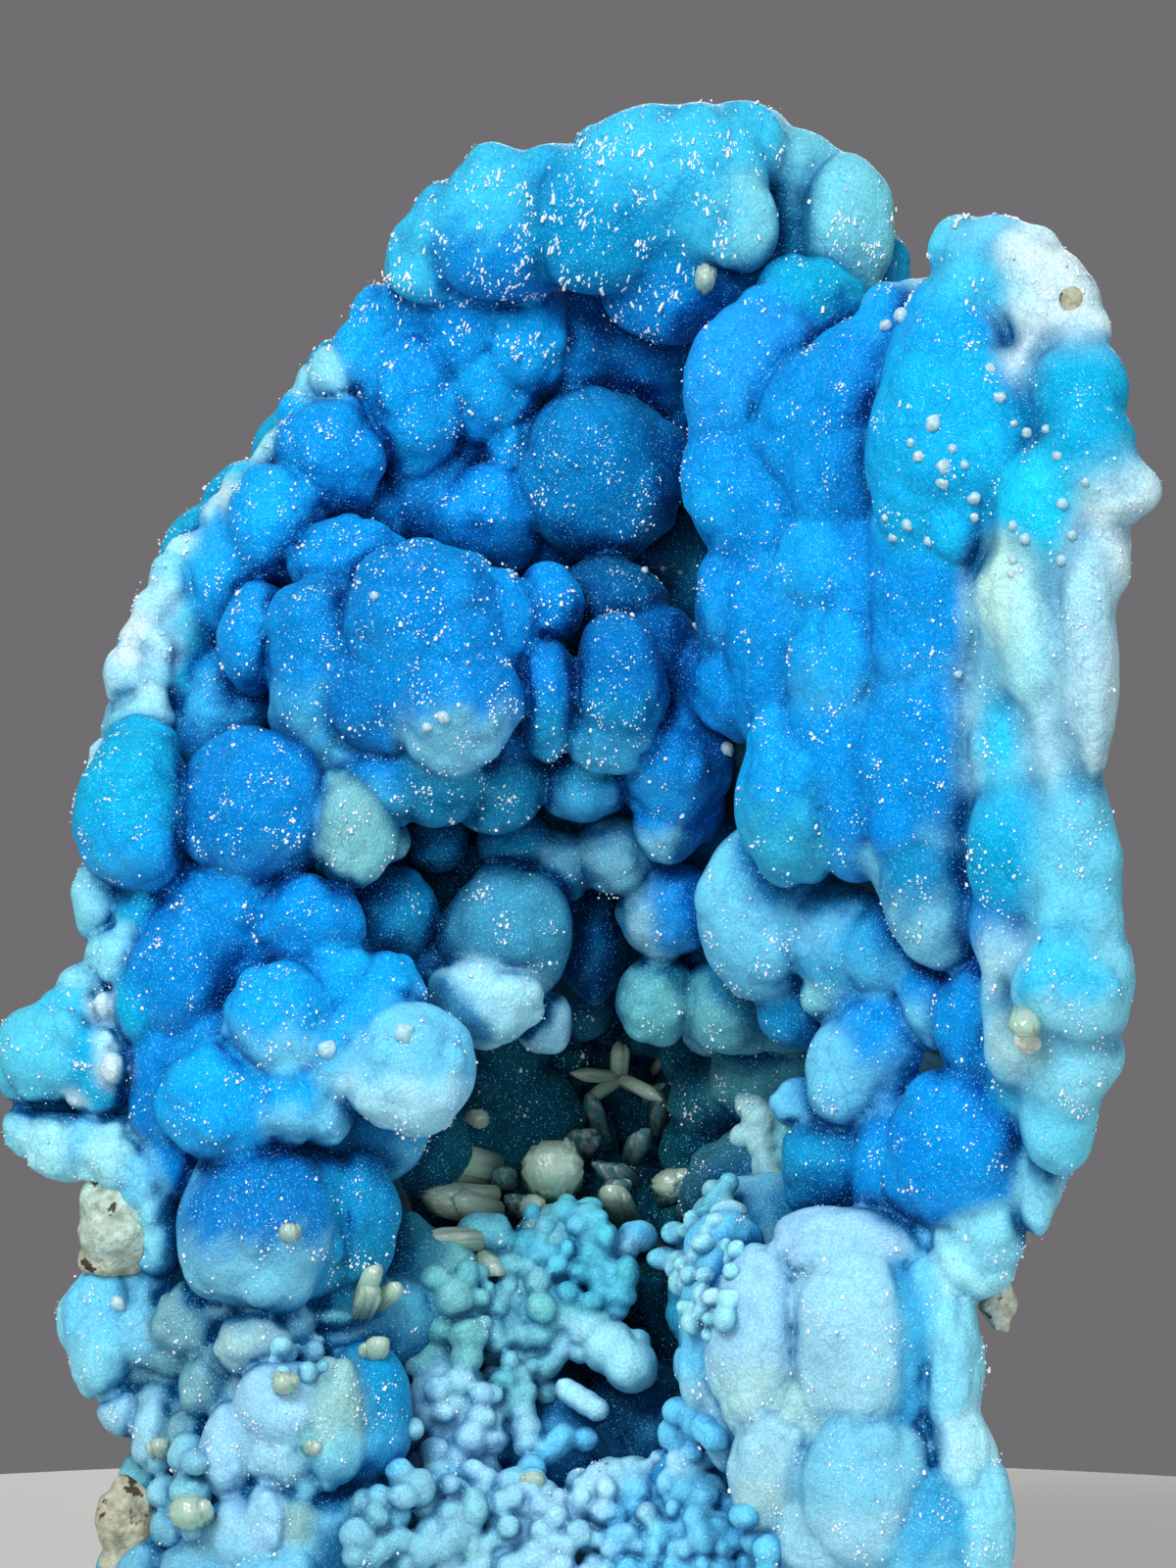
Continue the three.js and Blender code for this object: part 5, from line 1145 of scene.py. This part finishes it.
def crust_pieces():
    """The field of the whole crust, and its pieces: rock, upper, left, right and coral-like growth."""
    rng = np.random.default_rng(CRUST_SEED)
    box = np.array(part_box("crust")) / MM
    whole = Field(box[0] - 3.0, box[1] + 3.0, WHOLE_CELL)
    rock = []
    for across, back, up, radius in MATRIX:
        centre = np.array([across - MIDDLE_ACROSS, back - MIDDLE_BACK, up])
        rock.append(Lobe(centre, np.full(3, radius), TINTS["matrix"], TINTS["matrix"], 0.0, 1.0, 1.6))
    by_piece = {}
    known = []
    for piece, regions in PIECES.items():
        by_piece[piece] = []
        for rows, *look in regions:
            by_piece[piece] += lobes_of(rows, rng, *look)
            known += [(placed(*row[:3]), *two_tones(row[5]), piece) for row in rows]
    crumbs = lobes_of(RIM_ROCK, rng, *ROCK_LOOK)
    coral = lobes_of(CORAL, rng, *CORAL_LOOK)
    for radius, tint, points in STRANDS:
        coral += strand(STRAND_SCALE * radius, tint, points, rng, CORAL_LOOK[0])
    for lobe in [*rock, *sum(by_piece.values(), []), *coral]:
        whole.add(lobe, FAR)
    close = beaded(whole, rng)
    for lobe in close:
        whole.add(lobe)
    coral += close
    for filling in FILLING:
        for piece, lobes in fill_between(whole, known, rng, *filling).items():
            by_piece[piece] += lobes
    behind = patches_behind(whole, rng)
    for lobe in behind:
        whole.add(lobe)
    crust = crust_material("crust_blue")
    # the coral-like growth's crust, with its painted shade at 0.6 strength
    beady = crust_material("crust_beaded", 0.6)
    bare = rock_material("rock_bare", 0.8, (122, 98, 62), (110, 92, 66))
    pale = rock_material("rock_pale", 0.35, (170, 172, 146), (120, 104, 76))
    pieces = [fitted("crust_rock", rock + behind, ROCK_CELL, ROCK_FACES, whole, bare, CRUMBLY)]
    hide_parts("crust")
    for piece, lobes in by_piece.items():
        pieces.append(fitted(piece, lobes, LOBE_CELL, LOBE_FACES, whole, crust, WAVY))
    pieces.append(fitted("coral_growth", coral, CORAL_CELL, CORAL_FACES, whole, beady, FINE, 0.6))
    fitted("rim_rock", crumbs, CORAL_CELL, ROCK_FACES // 3, whole, pale, CHIPPED, 0.7)
    return whole, pieces


# ---- crystals


def across_way(way):
    """The level direction at right angles to a direction."""
    side = np.cross(way, (0.0, 0.0, 1.0))
    return side / np.linalg.norm(side)


def blade(mesh, foot, way, half_width, half_thickness, length, tip, rng):
    """Adds one six-sided blade with a chisel tip and rounded edges to a bmesh, in millimetres."""
    way = way / np.linalg.norm(way)
    side = across_way(way)
    third = np.cross(side, way)
    points = []
    for height, share in ((0.0, 0.94), (length - tip, 1.0)):
        for corner in range(6):
            turn = corner * math.pi / 3
            wide = side * half_width * math.cos(turn) * share
            thick = third * half_thickness * 1.1 * math.sin(turn) * share
            points.append(foot + way * height + wide + thick)
    ridge = rng.uniform(0.35, 0.6)
    skew = rng.uniform(-0.2, 0.2)
    for end in (-ridge + skew, ridge + skew):
        points.append(foot + way * length + side * half_width * end)
    made = [mesh.verts.new(point) for point in points]
    hull = bmesh.ops.convex_hull(mesh, input=made)
    edges = {edge for face in hull["geom"] if isinstance(face, bmesh.types.BMFace) for edge in face.edges}
    sharp = [edge for edge in edges if edge.calc_face_angle(0) > 0.2]
    rounding = 0.2 * half_thickness
    bmesh.ops.bevel(mesh, geom=sharp, offset=rounding, segments=2, affect="EDGES", clamp_overlap=True)


def made_object(name, mesh, growth_of):
    """A bmesh in millimetres as an object, with the attribute growth from growth_of its places."""
    data = bpy.data.meshes.new(name)
    mesh.to_mesh(data)
    mesh.free()
    data.transform(Matrix.Scale(MM, 4))
    smoothed(data)
    growth = growth_of(places_of(data)).astype(np.float32)
    data.attributes.new("growth", "FLOAT_VECTOR", "POINT").data.foreach_set("vector", growth.ravel())
    return linked(name, data)


def crystal_object(name, blades, rng, growths):
    """A crystal of blades, each with parallel growths beside it. Its fibres run along the last blade."""
    mesh = bmesh.new()
    for across, up, back, dx, dz, dy, half_width, half_thickness, length, tip in blades:
        foot = placed(across, up, back)
        way = np.array([dx, dy, dz], float)
        blade(mesh, foot, way, half_width, half_thickness, length, tip, rng)
        side = across_way(way)
        for growth in range(growths):
            shift = side * half_width * rng.uniform(0.35, 0.75) * (1 if growth % 2 else -1)
            lift = np.cross(side, way / np.linalg.norm(way)) * half_thickness * rng.uniform(-0.4, 0.4)
            size = rng.uniform(0.35, 0.6)
            reach = length * rng.uniform(0.72, 0.96)
            blade(mesh, foot + shift + lift, way + rng.normal(0, 0.03, 3), half_width * size,
                  half_thickness * rng.uniform(0.6, 0.85), reach, tip * 0.7, rng)
    bmesh.ops.triangulate(mesh, faces=mesh.faces[:])
    along = way / np.linalg.norm(way)
    return made_object(name, mesh, lambda places: places - 0.93 * (places @ along)[:, None] * along)


def crystal_pieces(whole):
    """The crystals that stand for the CAD nodes, more of them in the cavity, and the clear beads."""
    rng = np.random.default_rng(CRYSTAL_SEED)
    clear = crystal_material("crystal_clear", (206, 255, 226), 0.45)
    dim = crystal_material("crystal_dim", (104, 188, 196), 0.6)
    glassy = crystal_material("bead_clear", (178, 236, 255), 0.2)
    for node, blades in CRYSTALS.items():
        obj = crystal_object(node + "_clear", blades, rng, 1)
        add_piece(obj, "crystal", clear, node)
    add_piece(crystal_object("cavity_druse", CAVITY_BLADES, rng, 2), "crystal", dim)
    add_piece(crystal_object("cavity_blades", CLEAR_BLADES, rng, 2), "crystal", clear)
    add_piece(bead_object("clear_beads", whole, rng), "crystal", glassy)


def bead_object(name, whole, rng):
    """Clear, slightly lumpy beads that sit where the view from the eye point meets the crust."""
    mesh = bmesh.new()
    backs = np.arange(-30.0, 40.0, 0.1)
    for across, up, radius in BEADS:
        line = np.array([placed(across, up, back) for back in backs])
        inside = np.nonzero(whole.sample(whole.distance, line) < 0)[0]
        if not len(inside):
            continue
        made = bmesh.ops.create_icosphere(mesh, subdivisions=2, radius=0.85 * radius)["verts"]
        for vertex in made:
            vertex.co *= 1 + 0.12 * rng.normal()
            vertex.co += Vector(line[inside[0]])
    return made_object(name, mesh, lambda places: places)


def prism_arrays(sides):
    """Points and triangles of a unit prism along Z, open at its foot and pointed: radius 1, height 1."""
    angle = np.arange(sides) * 2 * math.pi / sides
    ring = np.stack([np.cos(angle), np.sin(angle)], 1)
    shoulder = 0.72
    points = [[*p, 0.0] for p in ring] + [[*p, shoulder] for p in ring] + [[0.0, 0.0, 1.0]]
    top = 2 * sides
    faces = []
    for a in range(sides):
        b = (a + 1) % sides
        faces += [[a, b, sides + b], [a, sides + b, sides + a], [sides + a, sides + b, top]]
    return np.array(points), np.array(faces)


def scatter_on(obj, wanted, rng, allowed):
    """Random places and normals on a mesh, spread by area over the triangles that allowed picks."""
    mesh = obj.data
    mesh.calc_loop_triangles()
    corner = np.empty(len(mesh.loop_triangles) * 3, np.int32)
    mesh.loop_triangles.foreach_get("vertices", corner)
    corner = corner.reshape(-1, 3)
    places, normals = places_of(mesh) / MM, normals_of(mesh)
    a, b, c = places[corner[:, 0]], places[corner[:, 1]], places[corner[:, 2]]
    area = np.linalg.norm(np.cross(b - a, c - a), axis=1)
    weight = area * allowed(corner[:, 0])
    pick = rng.choice(len(corner), wanted, p=weight / weight.sum())
    u, v = rng.random((2, wanted, 1))
    fold = (u + v) > 1
    u, v = np.where(fold, 1 - u, u), np.where(fold, 1 - v, v)
    return a[pick] + u * (b[pick] - a[pick]) + v * (c[pick] - a[pick]), normals[corner[pick, 0]]


def joined_prisms(name, places, ways, radii, lengths):
    """One mesh of many small four-sided prisms, each standing at its place along its way."""
    unit, faces = prism_arrays(4)
    ways = ways / np.linalg.norm(ways, axis=1, keepdims=True)
    other = np.where(np.abs(ways[:, 2:3]) < 0.9, [[0.0, 0.0, 1.0]], [[1.0, 0.0, 0.0]])
    side = np.cross(ways, other)
    side /= np.linalg.norm(side, axis=1, keepdims=True)
    third = np.cross(ways, side)
    flatter = 0.8
    points = (places[:, None] + unit[None, :, :1] * side[:, None] * radii[:, None, None]
              + unit[None, :, 1:2] * third[:, None] * radii[:, None, None] * flatter
              + (unit[None, :, 2:3] - 0.5) * ways[:, None] * lengths[:, None, None])
    polygons = (faces[None] + np.arange(len(places))[:, None, None] * len(unit)).reshape(-1, 3)
    return linked(name, new_mesh(name, points.reshape(-1, 3) * MM, polygons))


def glint_piece(pieces):
    """Druse crystals that catch the light, in loose clusters on the blue lobes."""
    rng = np.random.default_rng(GLINT_SEED)
    everywhere = []
    for obj, share in pieces:
        values = {}
        for name in ("rough", "open"):
            values[name] = np.empty(len(obj.data.vertices), np.float32)
            obj.data.attributes[name].data.foreach_get("value", values[name])
        facing = normals_of(obj.data)[:, 1]

        def allowed(corner):
            smooth = (values["rough"][corner] < 0.4) * np.clip(2 * values["open"][corner] - 0.9, 0, 1)
            return smooth * np.clip(0.35 - facing[corner], 0, 1)

        centres, ways = scatter_on(obj, round(GLINTS * share / CLUSTER_MEAN), rng, allowed)
        each = rng.choice(CLUSTERS, len(centres))
        everywhere.append((np.repeat(centres, each, 0), np.repeat(ways, each, 0)))
    places = np.concatenate([p for p, _ in everywhere])
    ways = np.concatenate([w for _, w in everywhere])
    loose = rng.normal(0, 0.32, places.shape)
    loose -= ways * np.sum(loose * ways, 1, keepdims=True)
    places = places + loose
    upright = np.array([0.1, 0.0, 1.0]) + rng.normal(0, 0.35, ways.shape)
    flat = upright - 0.9 * ways * np.sum(upright * ways, 1, keepdims=True)
    radii = np.clip(np.exp(rng.normal(-3.1, 0.42, len(places))), 0.025, 0.13)
    stretch = rng.uniform(1.2, 2.4, len(places))
    on_crown = np.clip((places[:, 2] - 66) / 3, 0, 1)
    stretch += on_crown * rng.uniform(0, 3.5, len(places))
    obj = joined_prisms("druse_glints", places, flat, radii, radii * stretch)
    return add_piece(obj, "crystal", glint_material("druse"))


# ---- stage


def area_light(name, place, aim, size, power):
    """A white rectangular light at a place in millimetres, turned to what it aims at."""
    light = bpy.data.lights.new(name, "AREA")
    light.shape = "RECTANGLE"
    light.size, light.size_y = (s * MM for s in size)
    light.energy = power
    obj = linked(name, light)
    obj.location = Vector(place) * MM
    obj.rotation_euler = (Vector(aim) - Vector(place)).to_track_quat("-Z", "Y").to_euler()


def stage():
    """Camera at the eye point, soft lights, grey surroundings and a round, pale floor."""
    scene = bpy.context.scene
    camera = bpy.data.cameras.new("camera")
    camera.sensor_fit = "VERTICAL"
    camera.sensor_height = SENSOR
    camera.lens = camera.sensor_height * EYE_DISTANCE / FRAME_HEIGHT
    camera.clip_start = 0.01
    obj = linked("camera", camera)
    obj.location = Vector((-MIDDLE_ACROSS, -EYE_DISTANCE - MIDDLE_BACK, EYE_HEIGHT)) * MM
    obj.rotation_euler = (math.radians(90), 0, 0)
    scene.camera = obj
    area_light("key", (-160, -320, 330), (0, 0, 42), (220, 220), 1.95)
    area_light("fill", (300, -260, 140), (0, 0, 40), (240, 300), 0.5)
    area_light("low", (-60, -330, 20), (0, 0, 40), (300, 160), 0.22)
    area_light("back", (60, 320, 260), (0, 0, 45), (260, 200), 0.7)
    world = bpy.data.worlds.new("room")
    world.use_nodes = True
    background = world.node_tree.nodes["Background"]
    background.inputs["Color"].default_value = screen(124, 122, 124)
    background.inputs["Strength"].default_value = 0.8
    scene.world = world
    scene.view_settings.view_transform = "Standard"
    floor_mesh = bpy.data.meshes.new("floor")
    sides = 96
    radius = 85 * MM
    turns = [2 * math.pi * side / sides for side in range(sides)]
    ring = [(radius * math.cos(turn), radius * math.sin(turn), 0) for turn in turns]
    floor_mesh.from_pydata(ring, [], [list(range(sides))])
    floor = linked("floor", floor_mesh)
    floor.location.z = -0.05 * MM
    n = Nodes("floor_pale")
    n.set(Base_Color=n.mix(n.noise(30), screen(196, 194, 192), screen(204, 202, 200)), Roughness=0.7)
    floor_mesh.materials.append(n.material)


stage()
whole, (rock, upper, left, right, coral) = crust_pieces()
crystal_pieces(whole)
# Each piece with its share of the glints.
glint_piece(((upper, 0.36), (left, 0.3), (right, 0.3), (coral, 0.02), (rock, 0.02)))
